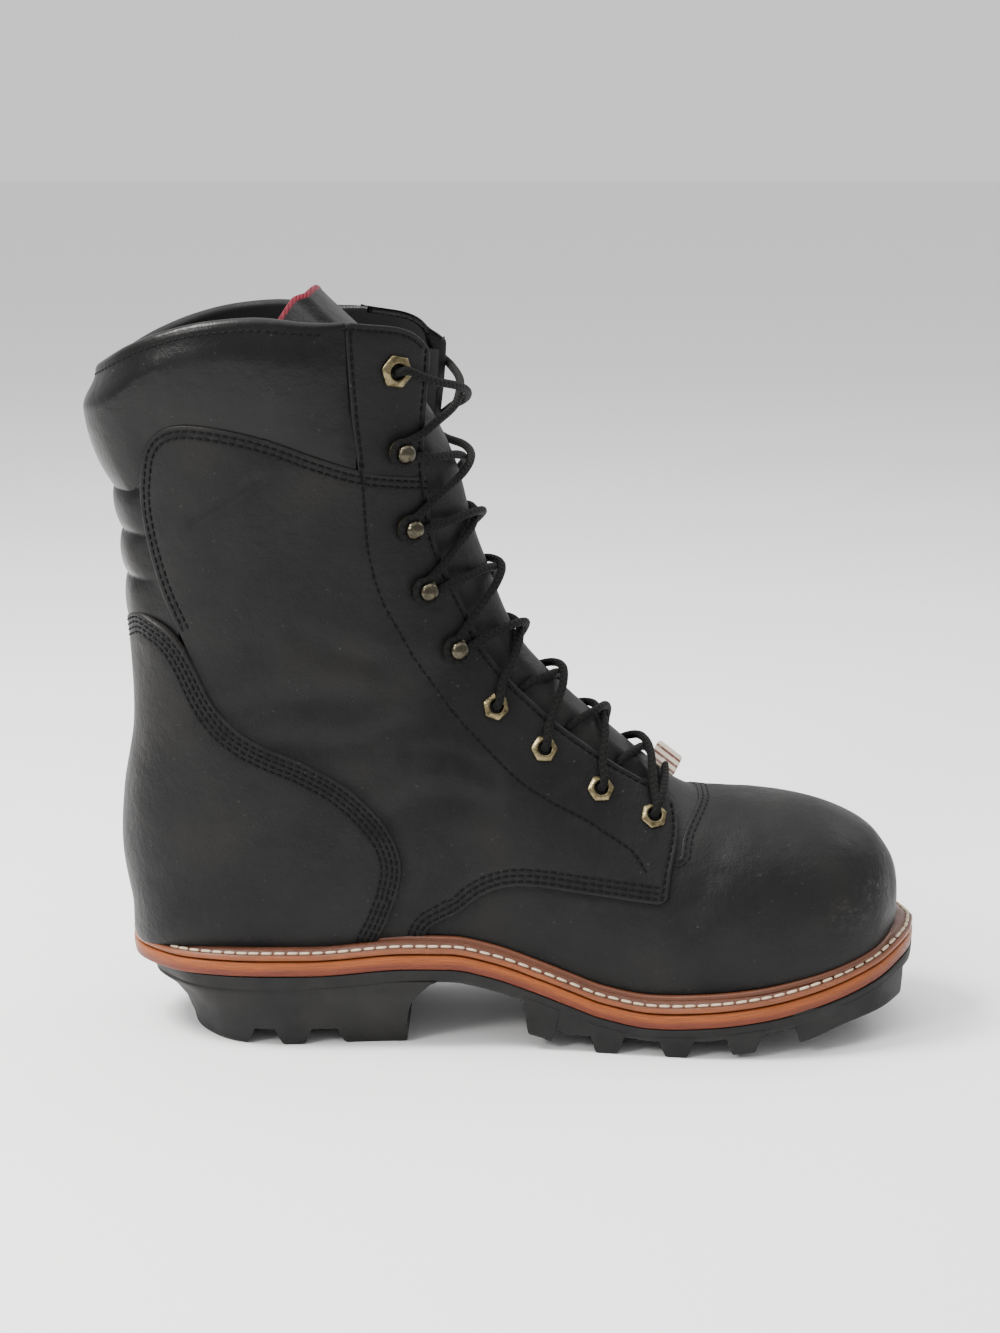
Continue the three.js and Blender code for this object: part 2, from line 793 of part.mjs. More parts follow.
// Place of one eyelet or hook: foot on the leather and the direction that it stands in
function lacingPlace(row, side) {
  const step = 0.004;
  const inset = row.inset * EYELET_INSET;
  let angle = angleAt(row.station, side * throatHalf(row.station));
  let travelled = 0;
  let point = formPoint(row.station, angle);
  while (travelled < inset) {
    angle += side * step;
    const next = formPoint(row.station, angle);
    travelled += next.distanceTo(point);
    point = next;
  }
  const normal = formNormal(row.station, angle);
  return { foot: point.addScaledVector(normal, OVERLAY), normal };
}
const sizeOf = (row) => (row === LACING.at(-1) ? TOP_EYELET_SCALE : 1);

// Upper: one hollow wall with stepped panels, padded collar, ribs, throat and eyelet holes
function upper() {
  const quarters = form(OVERLAY).intersect(sidePrism(panelCorners(QUARTER_EDGE)));
  const counter = form(2 * OVERLAY).intersect(sidePrism(panelCorners(COUNTER_EDGE)));
  let shell = form(0).add(collar()).add(quarters).add(counter).subtract(form(-WALL));
  shell = shell.subtract(wideSlab(() => -BEYOND, (x) => seat(x) + GAP));
  const above = [...panelCorners(TOP_EDGE), [LAST_LENGTH / 2, 2 * COLLAR_Z], [-BEYOND, 2 * COLLAR_Z]];
  shell = shell.subtract(sidePrism(above)).subtract(throatCut());
  for (const row of LACING.filter((place) => place.kind === "eyelet")) {
    for (const side of [-1, 1]) {
      const { foot, normal } = lacingPlace(row, side);
      const radius = EYELET_BARREL * sizeOf(row) + GAP;
      const drill = new THREE.CylinderGeometry(radius, radius, DRILL_LENGTH, ROUND_SIDES);
      drill.applyQuaternion(turnTo(normal));
      drill.translate(foot.x, foot.y, foot.z);
      shell = shell.subtract(toSolid(drill));
    }
  }
  return shell;
}

const DRILL_LENGTH = 6 * WALL;
const turnTo = (normal) =>
  new THREE.Quaternion().setFromUnitVectors(new THREE.Vector3(0, 1, 0), normal);

// Tongue: a thin sheet under the flaps that rises between them and leans back above the ankle
function tongue() {
  const rows = 15;
  const columns = 8;
  const start = 8.1;
  const riseStart = 8.95;
  const riseLength = 0.6;
  const end = 25.3;
  const endRound = 0.6;
  const leanStart = 19.5;
  const leanPower = 1.7;
  const openFrom = 1.5;
  const openTo = 7;
  const under = -(WALL + 2 * SEAT_GAP);
  const between = -0.2;
  const outside = [];
  const inside = [];
  for (let i = 0; i <= rows; i += 1) {
    for (let j = 0; j <= columns; j += 1) {
      const across = (2 * j) / columns - 1;
      const top = end - endRound * across ** 2;
      const station = i === 0 ? start : mix(riseStart, top, (i - 1) / (rows - 1));
      const half = throatHalf(station);
      const y = across * (half + TONGUE_LAP);
      const clear = ease(half - openFrom, half - openTo, Math.abs(y));
      const level = mix(under, between, clear * ease(riseStart, riseStart + riseLength, station));
      const lean = clamp((station - leanStart) / (end - leanStart)) ** leanPower * TONGUE_LEAN;
      const back = new THREE.Vector3(-lean, 0, 0);
      outside.push(overForm(station, y, level).add(back));
      inside.push(overForm(station, y, level - TONGUE_THICK).add(back));
    }
  }
  return sheetSolid(outside, inside, rows, columns);
}

// Insole: a board inside the upper's foot, with a filler that drops inside the welt
function insole() {
  const board = wideSlab((x) => seat(x) + GAP, (x) => seat(x) + GAP + INSOLE_THICK);
  const outline = soleOutline(WELT_SHELF + WELT_MARGIN + GAP);
  const column = slab(outline, outline, () => -BEYOND, () => COLLAR_Z);
  const filler = wideSlab((x) => midsoleTop(x) + GAP, (x) => seat(x) + 2 * GAP);
  return form(-WALL - GAP).intersect(board).add(column.intersect(filler));
}

// Welt: a ring under the upper's edge with a lip that stands against the leather
function welt() {
  const outline = soleOutline(0);
  const lipOutline = soleOutline(LIP_INSET);
  const hole = soleOutline(WELT_SHELF + WELT_MARGIN);
  const plate = slab(outline, outline, (x) => midsoleTop(x) + GAP, seat);
  const lipFoot = (x) => seat(x) - WELT_THICK / 2;
  const lip = slab(lipOutline, lipOutline, lipFoot, (x) => seat(x) + LIP_RISE);
  const room = bootSide(GAP).intersect(wideSlab(seat, () => COLLAR_Z));
  const opening = slab(hole, hole, () => -BEYOND, () => COLLAR_Z);
  return plate.add(lip.intersect(bootSide(GAP + LIP_WIDTH))).subtract(room).subtract(opening);
}

// Outside of the boot near the welt, with room for the counter and quarters at the heel
function bootSide(level) {
  const front = COUNTER_ROOM * LAST_LENGTH;
  const heelPart = sidePrism([
    [-BEYOND, -BEYOND],
    [front, -BEYOND],
    [front, COLLAR_Z],
    [-BEYOND, COLLAR_Z],
  ]);
  return form(level).add(form(level + 2 * OVERLAY).intersect(heelPart));
}

function midsole() {
  const outline = soleOutline(0);
  return slab(outline, outline, (x) => rubberTop(x) + GAP, midsoleTop);
}

// A groove right across the sole, wider at the floor than at its root
function groove(startX, endX, rootZ) {
  return sidePrism([
    [startX - GROOVE_FLARE, -1],
    [endX + GROOVE_FLARE, -1],
    [endX - GROOVE_FLARE, rootZ],
    [startX + GROOVE_FLARE, rootZ],
  ]);
}
const soleX = (along) => along * SOLE_LENGTH - HEEL_SHELF;

// Outsole: the rubber base with the front lugs under it
function outsole() {
  const outline = soleOutline(0);
  const foot = soleOutline(LUG_TAPER);
  const underside = soleOutline(BASE_TAPER).map((place) => {
    const slope = HEEL_BASE_SLOPE * (1 - ease(-HEEL_SHELF, HEEL_BASE_REACH, place.x));
    return { ...place, x: place.x + slope };
  });
  const base = slab(underside, outline, (x) => rubberTop(x) - RUBBER_BASE, rubberTop);
  let lugs = slab(foot, outline, lugBottom, (x) => rubberTop(x) - RUBBER_BASE / 2);
  const startX = soleX(LUGS_START);
  const endX = soleX(LUGS_END);
  lugs = lugs.intersect(
    sidePrism([
      [startX + GROOVE_FLARE, -1],
      [endX - 2 * GROOVE_FLARE, -1],
      [endX + GROOVE_FLARE, HEEL_SEAT],
      [startX - GROOVE_FLARE, HEEL_SEAT],
    ]),
  );
  for (const row of FRONT_GROOVES) {
    const middle = soleX((row.start + row.end) / 2);
    lugs = lugs.subtract(groove(soleX(row.start), soleX(row.end), lugBottom(middle) + GROOVE_DEPTH));
  }
  const channelLength = soleX(CHANNEL_END) - startX;
  for (const side of [-1, 1]) {
    const channel = new THREE.BoxGeometry(channelLength, LUG_CHANNEL, 2 * LUG_CHANNEL_DEPTH);
    channel.translate(startX + channelLength / 2, side * CHANNEL_SHARE * BALL_SOLE_WIDTH, 0);
    lugs = lugs.subtract(toSolid(channel));
  }
  return base.add(lugs);
}

// Heel: a block with an undercut back, tapered sides and a filleted breast
const treadX = (share) => HEEL_TREAD_START + share * HEEL_TREAD_LENGTH;
const HEEL_REST_X = treadX((HEEL_GROOVES[0].end + HEEL_GROOVES[1].start) / 2);
function heel() {
  const places = soleOutline(0).filter((place) => place.x < treadX(1));
  const backX = -HEEL_SHELF;
  const breastX = treadX(1);
  const blockHeight = HEEL_HEIGHT - RUBBER_BASE;
  const underBase = wideSlab(() => -BEYOND, (x) => rubberTop(x) - RUBBER_BASE - GAP);
  const rings = HEEL_LEVELS.map((level) => {
    const back = backX + level.back * HEEL_UNDERCUT;
    const breast = breastX + level.breast * HEEL_FILLET;
    const corner = (place, y) => {
      const x = mix(back, breast, (place.x - backX) / (breastX - backX));
      const taper = HEEL_TAPER + HEEL_BREAST_TAPER * ease(HEEL_TREAD_START, breastX, x);
      const inset = level.side * taper * Math.min(1, Math.abs(y) / (2 * HEEL_TAPER));
      return new THREE.Vector3(x, y - Math.sign(y) * inset, level.height * blockHeight);
    };
    const front = { ...places.at(-1), x: breastX };
    const round = [...places.slice(1), front];
    const inner = round.map((place) => corner(place, place.inner));
    const outer = round.map((place) => corner(place, place.outer)).reverse();
    return [corner(places[0], 0), ...inner, ...outer];
  });
  const middle = (ring) =>
    ring.reduce((sum, point) => sum.add(point), new THREE.Vector3()).multiplyScalar(1 / ring.length);
  let block = skinOf(rings, middle(rings[0]), middle(rings.at(-1))).intersect(underBase);
  for (const row of HEEL_GROOVES) {
    block = block.subtract(groove(treadX(row.start), treadX(row.end), GROOVE_DEPTH));
  }
  return block;
}

// Eyelet: a six-sided flange on a barrel, made upright on its axis
function eyeletGeometry(scale) {
  const radius = EYELET_BARREL * scale;
  const length = WALL + OVERLAY;
  const barrel = new THREE.CylinderGeometry(radius, radius, length, ROUND_SIDES);
  barrel.translate(0, SEAT_GAP - length / 2, 0);
  const wide = EYELET_FLANGE * scale;
  const flange = new THREE.CylinderGeometry(wide * FLANGE_DRAFT, wide, FLANGE_THICK, HEX_SIDES);
  flange.translate(0, SEAT_GAP + FLANGE_THICK / 2, 0);
  const hole = EYELET_HOLE * scale;
  const bore = new THREE.CylinderGeometry(hole, hole, DRILL_LENGTH, ROUND_SIDES);
  return toGeometry(toSolid(barrel).add(toSolid(flange)).subtract(toSolid(bore)));
}

// Lace hook: a round base, a neck and a domed head
function hookGeometry() {
  const profile = [
    [0, 0],
    [HOOK_BASE, 0],
    [HOOK_BASE, FLANGE_THICK],
    [HOOK_NECK, FLANGE_THICK],
    [HOOK_HEAD, HOOK_HEIGHT * HOOK_WAIST],
    [HOOK_HEAD * HOOK_CROWN, HOOK_HEIGHT * HOOK_SHOULDER],
    [0, HOOK_HEIGHT],
  ].map(([radius, up]) => new THREE.Vector2(radius, up + SEAT_GAP));
  return new THREE.LatheGeometry(profile, HEX_SIDES);
}

// One run of lace through points chosen on the form
function laceRun(points, steps) {
  const path = new THREE.CatmullRomCurve3(points);
  const corners = Array.from({ length: LACE_SIDES }, (_, i) => {
    const angle = (2 * Math.PI * i) / LACE_SIDES;
    return new THREE.Vector2(LACE_RADIUS * Math.cos(angle), LACE_RADIUS * Math.sin(angle));
  });
  const section = new THREE.Shape(corners);
  return toSolid(new THREE.ExtrudeGeometry(section, { steps, extrudePath: path }));
}

// Levels of a lace over the flaps and over the tongue
const LACE_LIFT = 0.5;
const LACE_ON_FLAP = OVERLAY + 2 * GAP + LACE_RADIUS;
const LACE_ON_TONGUE = GAP + LACE_RADIUS + LACE_LIFT / 2;

// A run of lace between two pairs: share of the way up, reach as a part of the throat's half width
// plus a length, and level
const CROSSING_PATH = table(
  ["share", "part", "aside", "level"],
  [
    [0.16, 1, 3, LACE_ON_FLAP],
    [0.22, 1, -1, LACE_ON_FLAP],
    [0.34, 0.5, 0, LACE_ON_TONGUE + LACE_LIFT],
    [0.5, 0, 0, LACE_ON_TONGUE],
    [0.66, -0.5, 0, LACE_ON_TONGUE],
    [0.84, -1, 3.2, LACE_ON_TONGUE - GAP],
  ],
);
const CROSSING_STEPS = 5;

// A crossing between two pairs: each run starts on one flap and ends beside the other
function laceCrossing(lower, upper) {
  const runs = [-1, 1].map((side) => {
    const points = CROSSING_PATH.map((row) => {
      const station = mix(lower.station, upper.station, row.share);
      const reach = row.part * throatHalf(station) + row.aside;
      return overForm(station, side * reach, row.level);
    });
    return laceRun(points, CROSSING_STEPS);
  });
  return toGeometry(runs[0].add(runs[1]));
}

// The lowest bar of lace, straight between the first pair
const BAR_STEPS = 6;
const BAR_DROP = 0.06;
const BAR_REACH = 3;
function laceBar() {
  const station = LACING[0].station - BAR_DROP;
  const reach = throatHalf(station) + BAR_REACH;
  const points = [-1, -0.5, 0, 0.5, 1].map((share) => {
    const level = mix(LACE_ON_TONGUE, LACE_ON_FLAP, Math.abs(share));
    return overForm(station, share * reach, level);
  });
  return toGeometry(laceRun(points, BAR_STEPS));
}

// Colours, roughness and metalness by material
const MATERIALS = {
  leather: { color: "#232225", roughness: 0.6, metalness: 0 },
  tongue: { color: "#1c1b1d", roughness: 0.7, metalness: 0 },
  midsole: { color: "#a8562c", roughness: 0.5, metalness: 0 },
  welt: { color: "#6d3a22", roughness: 0.5, metalness: 0 },
  insole: { color: "#3a2f28", roughness: 0.8, metalness: 0 },
  rubber: { color: "#1d1d1e", roughness: 0.75, metalness: 0 },
  brass: { color: "#8c7a55", roughness: 0.35, metalness: 1 },
  gunmetal: { color: "#55534c", roughness: 0.35, metalness: 1 },
  lace: { color: "#151516", roughness: 0.85, metalness: 0 },
  enamel: { color: "#b9b2a4", roughness: 0.3, metalness: 0.5 },
};

const boot = new THREE.Group();
function addPiece(name, geometry, material) {
  const mesh = new THREE.Mesh(geometry, new THREE.MeshStandardMaterial(MATERIALS[material]));
  mesh.name = name;
  boot.add(mesh);
  return mesh;
}

addPiece("outsole", toGeometry(outsole()), "rubber");
addPiece("heel", toGeometry(heel()), "rubber");
addPiece("midsole", toGeometry(midsole()), "midsole");
addPiece("welt", toGeometry(welt()), "welt");
addPiece("insole", toGeometry(insole()), "insole");
addPiece("upper", toGeometry(upper()), "leather");
addPiece("tongue", toGeometry(tongue()), "tongue");

// Eyelets and hooks stand on both flaps
LACING.forEach((row, i) => {
  for (const [side, label] of [
    [-1, "inner"],
    [1, "outer"],
  ]) {
    const { foot, normal } = lacingPlace(row, side);
    const isHook = row.kind === "hook";
    const geometry = isHook ? hookGeometry() : eyeletGeometry(sizeOf(row));
    const piece = addPiece(`${row.kind}_${label}_${i + 1}`, geometry, isHook ? "gunmetal" : "brass");
    piece.position.copy(foot);
    piece.quaternion.copy(turnTo(normal));
  }
});

addPiece("lace_bar", laceBar(), "lace");
for (let i = 0; i < LACING.length - 1; i += 1) {
  addPiece(`lace_crossing_${i + 1}`, laceCrossing(LACING[i], LACING[i + 1]), "lace");
}

// Keeper plate on the lowest bar of lace
const keeperLevel = LACE_ON_TONGUE + LACE_RADIUS + GAP + KEEPER_THICK / 2;
const keeper = addPiece(
  "lace_keeper",
  new THREE.BoxGeometry(KEEPER_LENGTH, KEEPER_THICK, KEEPER_WIDTH),
  "enamel",
);
keeper.position.copy(overForm(LACING[0].station, 0, keeperLevel));
const keeperUp = formNormal(LACING[0].station, 0);
const across = new THREE.Vector3(0, 1, 0);
const forward = keeperUp.clone().cross(across);
keeper.quaternion.setFromRotationMatrix(new THREE.Matrix4().makeBasis(forward, keeperUp, across));

// The origin is on the floor under the middle of the heel's tread
boot.position.x = -HEEL_REST_X;

export default boot;
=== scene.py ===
# Looks of the logger boot: a left work boot in oiled black leather on a lugged sole.
# Lengths are millimetres in the last's frame until a mesh is made, with -Y the foot's inner side.
import math

import bpy
import numpy as np
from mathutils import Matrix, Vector

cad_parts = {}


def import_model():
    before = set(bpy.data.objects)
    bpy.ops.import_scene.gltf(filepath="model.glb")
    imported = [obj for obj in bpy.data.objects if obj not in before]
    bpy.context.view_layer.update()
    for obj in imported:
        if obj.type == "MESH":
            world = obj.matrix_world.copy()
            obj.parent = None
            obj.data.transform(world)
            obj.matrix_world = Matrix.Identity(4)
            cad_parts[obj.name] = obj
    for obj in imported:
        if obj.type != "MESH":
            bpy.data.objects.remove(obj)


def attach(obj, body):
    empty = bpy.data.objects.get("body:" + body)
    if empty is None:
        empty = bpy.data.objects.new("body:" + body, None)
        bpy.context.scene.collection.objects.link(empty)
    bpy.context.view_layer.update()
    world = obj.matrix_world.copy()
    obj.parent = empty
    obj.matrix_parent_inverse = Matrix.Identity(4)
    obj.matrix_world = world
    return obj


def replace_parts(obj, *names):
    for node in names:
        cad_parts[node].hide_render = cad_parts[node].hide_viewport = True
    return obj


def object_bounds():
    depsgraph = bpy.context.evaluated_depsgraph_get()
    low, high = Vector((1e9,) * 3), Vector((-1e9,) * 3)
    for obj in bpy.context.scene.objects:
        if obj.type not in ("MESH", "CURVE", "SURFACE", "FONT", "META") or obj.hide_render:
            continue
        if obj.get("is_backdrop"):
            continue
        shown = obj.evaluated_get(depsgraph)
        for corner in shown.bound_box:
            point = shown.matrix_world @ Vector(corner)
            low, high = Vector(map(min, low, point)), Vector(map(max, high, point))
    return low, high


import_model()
cad_low, cad_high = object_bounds()

MM = 0.001
PI = math.pi
INNER = -1
OUTER = 1
SIDES = {INNER: "inner", OUTER: "outer"}

# Sizes of the last and the upper, as in the CAD model
LAST_LENGTH = 304
BALL_WIDTH = 94.5
HEEL_WIDTH = 70
INSTEP_HEIGHT = 133
SHAFT_RISE = 247.3
FORM_SINK = 7
WALL = 2.5
OVERLAY = 1.2
COLLAR_PAD = 9.3
COLLAR_SIDE_PAD = 5
RIB_RISE = 2.4
THROAT_HALF = 24
TONGUE_THICK = 3
TONGUE_LAP = 10
TONGUE_FOOT_HALF = 43
TONGUE_LEAN = 52
SEAT_GAP = 0.6

# Sizes of the sole
HEEL_HEIGHT = 29.5
BALL_HEIGHT = 11.6
TOE_SPRING = 21.9
RUBBER_BASE = 5
MIDSOLE_THICK = 6.2
WELT_THICK = 4
WELT_SHELF = 8
HEEL_SHELF = 4
LUG_CHANNEL = 7
LUG_CHANNEL_DEPTH = 5.5
GROOVE_FLARE = 1.5
GROOVE_DEPTH = 7
HEEL_UNDERCUT = 26.5
HEEL_TAPER = 2.5
HEEL_BREAST_TAPER = 7
HEEL_BASE_SLOPE = 5
HEEL_BASE_REACH = 60
HEEL_FILLET = 8.5
HEEL_TREAD_START = 28.5
HEEL_TREAD_LENGTH = 80

# Sizes of the lacing
EYELET_INSET = 12
EYELET_HOLE = 2.3
EYELET_FLANGE = 5.4
TOP_EYELET_SCALE = 1.2
HOOK_BASE = 5
HOOK_NECK = 1.8
LACE_RADIUS = 1.65

# Worked out from the sizes above
SOLE_LENGTH = HEEL_SHELF + LAST_LENGTH + WELT_SHELF
BALL_SOLE_WIDTH = BALL_WIDTH + 2 * WELT_SHELF
HEEL_SOLE_WIDTH = HEEL_WIDTH + 2 * WELT_SHELF
SEAT_RISE = MIDSOLE_THICK + WELT_THICK
HEEL_SEAT = HEEL_HEIGHT + SEAT_RISE
BALL_SEAT = BALL_HEIGHT + SEAT_RISE
ANKLE_Z = BALL_SEAT + INSTEP_HEIGHT
COLLAR_Z = HEEL_SEAT + SHAFT_RISE

# Sections of the foot: bottom x, sink, crest x, crest, inner, outer, middle, low power, top power,
# lean, as shares of the last's length, the form's sink, the instep and the ball
FOOT_SECTIONS = [
    (1.002, -1.9, 1.002, 0.243, 0.003, 0.003, 0.45, 2.4, 2.2, -1),
    (0.9974, 0.1, 0.9974, 0.325, 0.132, 0.132, 0.42, 2.6, 2.2, -1),
    (0.9855, 0.7, 0.9855, 0.381, 0.228, 0.228, 0.38, 3.0, 2.2, -1),
    (0.9655, 0.9, 0.9655, 0.436, 0.328, 0.317, 0.36, 3.6, 2.2, -1),
    (0.936, 1.0, 0.936, 0.478, 0.407, 0.397, 0.35, 4.2, 2.2, -1),
    (0.896, 1.0, 0.896, 0.511, 0.466, 0.466, 0.34, 4.6, 2.2, -0.5),
    (0.847, 1.0, 0.847, 0.533, 0.497, 0.519, 0.33, 5.0, 2.2, 0),
    (0.791, 1.0, 0.791, 0.545, 0.508, 0.556, 0.32, 5.0, 2.15, 0),
    (0.722, 1.0, 0.735, 0.555, 0.492, 0.561, 0.31, 5.0, 2.1, 0),
    (0.632, 1.1, 0.696, 0.602, 0.455, 0.54, 0.29, 5.0, 2.1, 0),
    (0.533, 1.6, 0.653, 0.682, 0.407, 0.492, 0.27, 4.8, 2.1, 0),
    (0.428, 1.9, 0.612, 0.764, 0.376, 0.45, 0.27, 4.6, 2.1, 0),
    (0.316, 1.4, 0.572, 0.844, 0.381, 0.429, 0.27, 4.4, 2.0, 0),
]

# Sections of heel and shaft: back x, back height, crest x, crest, inner, outer, middle, powers
# and lean, as shares of the last's length, the shaft's rise, the way from ankle to collar, and the heel
SHAFT_SECTIONS = [
    (0.197, -0.031, 0.538, -0.078, 0.536, 0.564, 0.27, 4.2, 2.0, 0),
    (0.086, -0.031, 0.508, 0, 0.55, 0.564, 0.28, 3.4, 2.0, 0),
    (0.008, -0.021, 0.487, 0.085, 0.55, 0.557, 0.3, 2.6, 2.0, 0),
    (-0.003, 0.05, 0.472, 0.168, 0.55, 0.557, 0.32, 2.4, 2.0, 0),
    (-0.0135, 0.139, 0.46, 0.247, 0.55, 0.557, 0.35, 2.4, 2.0, 0),
    (-0.009, 0.236, 0.447, 0.327, 0.55, 0.557, 0.38, 2.4, 2.0, 0),
    (0.0056, 0.341, 0.437, 0.406, 0.55, 0.557, 0.41, 2.4, 2.0, 0.2),
    (0.0056, 0.446, 0.429, 0.486, 0.564, 0.571, 0.44, 2.4, 2.05, 0.7),
    (-0.0016, 0.559, 0.423, 0.576, 0.586, 0.593, 0.46, 2.4, 2.12, 1.4),
    (-0.0085, 0.672, 0.42, 0.675, 0.614, 0.621, 0.47, 2.4, 2.2, 2.2),
    (-0.0235, 0.786, 0.419, 0.781, 0.643, 0.65, 0.48, 2.4, 2.28, 3),
    (-0.0243, 0.899, 0.419, 0.894, 0.664, 0.671, 0.48, 2.4, 2.3, 3.2),
    (-0.0243, 1.004, 0.419, 1.023, 0.679, 0.686, 0.48, 2.4, 2.3, 3.2),
    (-0.0243, 1.1, 0.419, 1.19, 0.693, 0.7, 0.48, 2.4, 2.3, 3.2),
]

# Outline of the sole: share of its length, inner and outer half widths as shares of its width
HEEL_OUTLINE = [
    (0, 0, 0),
    (0.012, 0.18, 0.18),
    (0.04, 0.318, 0.322),
    (0.08, 0.425, 0.42),
    (0.14, 0.486, 0.485),
    (0.2, 0.502, 0.505),
    (0.28, 0.5, 0.515),
]
BALL_OUTLINE = [
    (0.36, 0.388, 0.415),
    (0.44, 0.386, 0.435),
    (0.52, 0.4, 0.46),
    (0.6, 0.428, 0.495),
    (0.68, 0.463, 0.52),
    (0.745, 0.48, 0.52),
    (0.81, 0.471, 0.489),
    (0.87, 0.43, 0.425),
    (0.92, 0.362, 0.358),
    (0.96, 0.267, 0.282),
    (0.988, 0.145, 0.172),
    (1, 0, 0),
]

# Heights along the sole: shares of the heel's lift and of the toe spring
HEEL_CURVE = [
    (0, 1), (0.24, 1.03), (0.36, 1.19), (0.41, 1.18), (0.46, 1.01), (0.52, 0.66), (0.56, 0.4),
    (0.6, 0.16), (0.66, 0), (1, 0),
]
TOE_CURVE = [(0, 0), (0.67, 0), (0.73, 0.055), (0.8, 0.19), (0.87, 0.41), (0.94, 0.7), (1, 1)]
LUG_CURVE = [
    (0, 0.3), (0.5, 0.3), (0.52, 0.25), (0.56, 0), (0.713, 0), (0.745, 0.05), (0.79, 0.13),
    (0.84, 0.25), (0.905, 0.53), (0.95, 0.64), (1, 0.8),
]
LUGS_START = 0.502
LUGS_END = 0.978
FRONT_GROOVES = [(0.544, 0.582), (0.626, 0.668), (0.711, 0.75), (0.795, 0.833)]
CHANNEL_SHARE = 0.16
HEEL_LEVELS = [
    (0, 0.9, 1, 0),
    (0.16, 0.87, 0.86, 0),
    (0.52, 0.74, 0.5, 0),
    (0.79, 0.53, 0.25, 0.25),
    (0.94, 0.3, 0.1, 0.6),
    (1.2, 0, 0, 1.4),
]
HEEL_GROOVES = [(0.231, 0.37), (0.512, 0.675)]
HEEL_TUCK = 0.31

# Half width of the throat along the stations, as shares of its widest
THROAT = [
    (8.85, 0.56), (9.05, 0.7), (9.5, 0.71), (10.5, 0.73), (12, 0.69), (14, 0.68), (16, 0.72),
    (18, 0.83), (20, 0.93), (22, 0.99), (24, 0.96), (26, 0.93),
]

# Lacing from the lowest pair up: kind, station, share of the eyelets' inset
LACING = [
    ("eyelet", 9.25, 1.1),
    ("eyelet", 10.5, 1.05),
    ("eyelet", 11.95, 1),
    ("eyelet", 13.5, 1),
    ("hook", 15.6, 0.95),
    ("hook", 17.8, 1),
    ("hook", 19.8, 0.85),
    ("hook", 21.8, 0.95),
    ("eyelet", 23.65, 1.3),
]

# Seams in side view (x, z), the same on both sides of the boot
QUARTER_TOP = [
    (116.6, 224.5), (104, 226.2), (91.4, 228.6), (75.8, 234), (58.4, 240.6), (42.6, 244.4),
    (28.4, 246), (19, 244), (12.4, 237.5), (9.7, 225), (9.5, 212.6), (12, 197), (16, 182),
    (20, 172), (26, 158), (31, 140),
]
QUARTER_LOW = [
    (114, 38), (115.5, 43), (117.8, 48.2), (128.8, 54.2), (138, 61.3), (148, 64.8), (160.7, 64.8),
    (177, 62.8), (194, 61), (207, 59.8),
]
QUARTER_FRONT = [(210.3, 62), (211.8, 72), (214.6, 84), (214.6, 91), (213.2, 95.2)]
COUNTER_TOP = [
    (-3.4, 161), (4.6, 171.3), (14.7, 168.5), (21.4, 163.6), (27, 155.8), (32.6, 144.7),
    (37.8, 135.5), (45.6, 127.8), (55.4, 121.8), (70.8, 114.7), (85, 105.9), (96.4, 95.6),
    (104, 84.8), (107, 73.3), (105, 61.6), (100.4, 49.3), (96.5, 42), (94, 36),
]
EYESTAY_SEAM = [
    (92.5, 230.5), (93.4, 221), (94.5, 201.5), (96.5, 189), (100, 177.4), (104.8, 167.8),
    (111, 156), (116.6, 147.4), (127.3, 132), (140, 118), (152, 106), (164, 98), (177.5, 91),
    (190, 83.4), (196.8, 78.8), (201.5, 72.3),
]
FACING_BACK = [(92.5, 222), (91.8, 230), (90.2, 245), (89, 262), (88.2, 278), (88, 286)]
FACING_TOP = [(88, 284), (96, 283), (105.7, 281.8), (112, 279.6), (116, 276)]
TOP_LINE = [
    (-19, 259.5), (-16, 260.8), (-10, 264.2), (-4, 268), (3, 272.5), (9.5, 276), (20.7, 280.5),
    (36, 284.3), (55.7, 286), (73, 284.2), (81, 283.8), (88.5, 283.6), (105.7, 281.6), (112, 279.6),
    (116, 276), (117.6, 270),
]
PAD_BACK_Z = 219.7
RIB_EDGES = [160.5, 184.9, 202.4, 219.7]

# World x is measured from the middle of the heel's tread
HEEL_REST_X = HEEL_TREAD_START + HEEL_TREAD_LENGTH * (HEEL_GROOVES[0][1] + HEEL_GROOVES[1][0]) / 2


def mix(a, b, share):
    return a + (b - a) * share


def ease(low, high, value):
    share = np.clip((value - low) / (high - low), 0, 1)
    return share * share * (3 - 2 * share)


def spline(rows, at):
    """Smooth curve through equally spaced rows of numbers."""
    rows = np.asarray(rows, float)
    last = len(rows) - 1
    place = np.clip(np.asarray(at, float), 0, last)
    index = np.minimum(np.floor(place).astype(int), last - 1)
    f = (place - index)[..., None]
    before = rows[np.maximum(index - 1, 0)]
    start = rows[index]
    end = rows[index + 1]
    after = rows[np.minimum(index + 2, last)]
    bend = 2 * before - 5 * start + 4 * end - after
    twist = 3 * start - before - 3 * end + after
    return 0.5 * (2 * start + (end - before) * f + bend * f**2 + twist * f**3)


def curve(rows, at):
    """Curve through (place, value) pairs without overshoot."""
    xs, ys = np.array(rows, float).T
    h = np.diff(xs)
    rise = np.diff(ys) / h
    slope = np.zeros(len(xs))
    for i in range(1, len(xs) - 1):
        if rise[i - 1] * rise[i] > 0:
            first = 2 * h[i] + h[i - 1]
            second = h[i] + 2 * h[i - 1]
            slope[i] = (first + second) / (first / rise[i - 1] + second / rise[i])
    place = np.clip(at, xs[0], xs[-1])
    i = np.clip(np.searchsorted(xs, place) - 1, 0, len(xs) - 2)
    t = (place - xs[i]) / h[i]
    low = (2 * t**3 - 3 * t**2 + 1) * ys[i] + (3 * t**2 - 2 * t**3) * ys[i + 1]
    return low + (t**3 - 2 * t**2 + t) * h[i] * slope[i] + (t**3 - t**2) * h[i] * slope[i + 1]


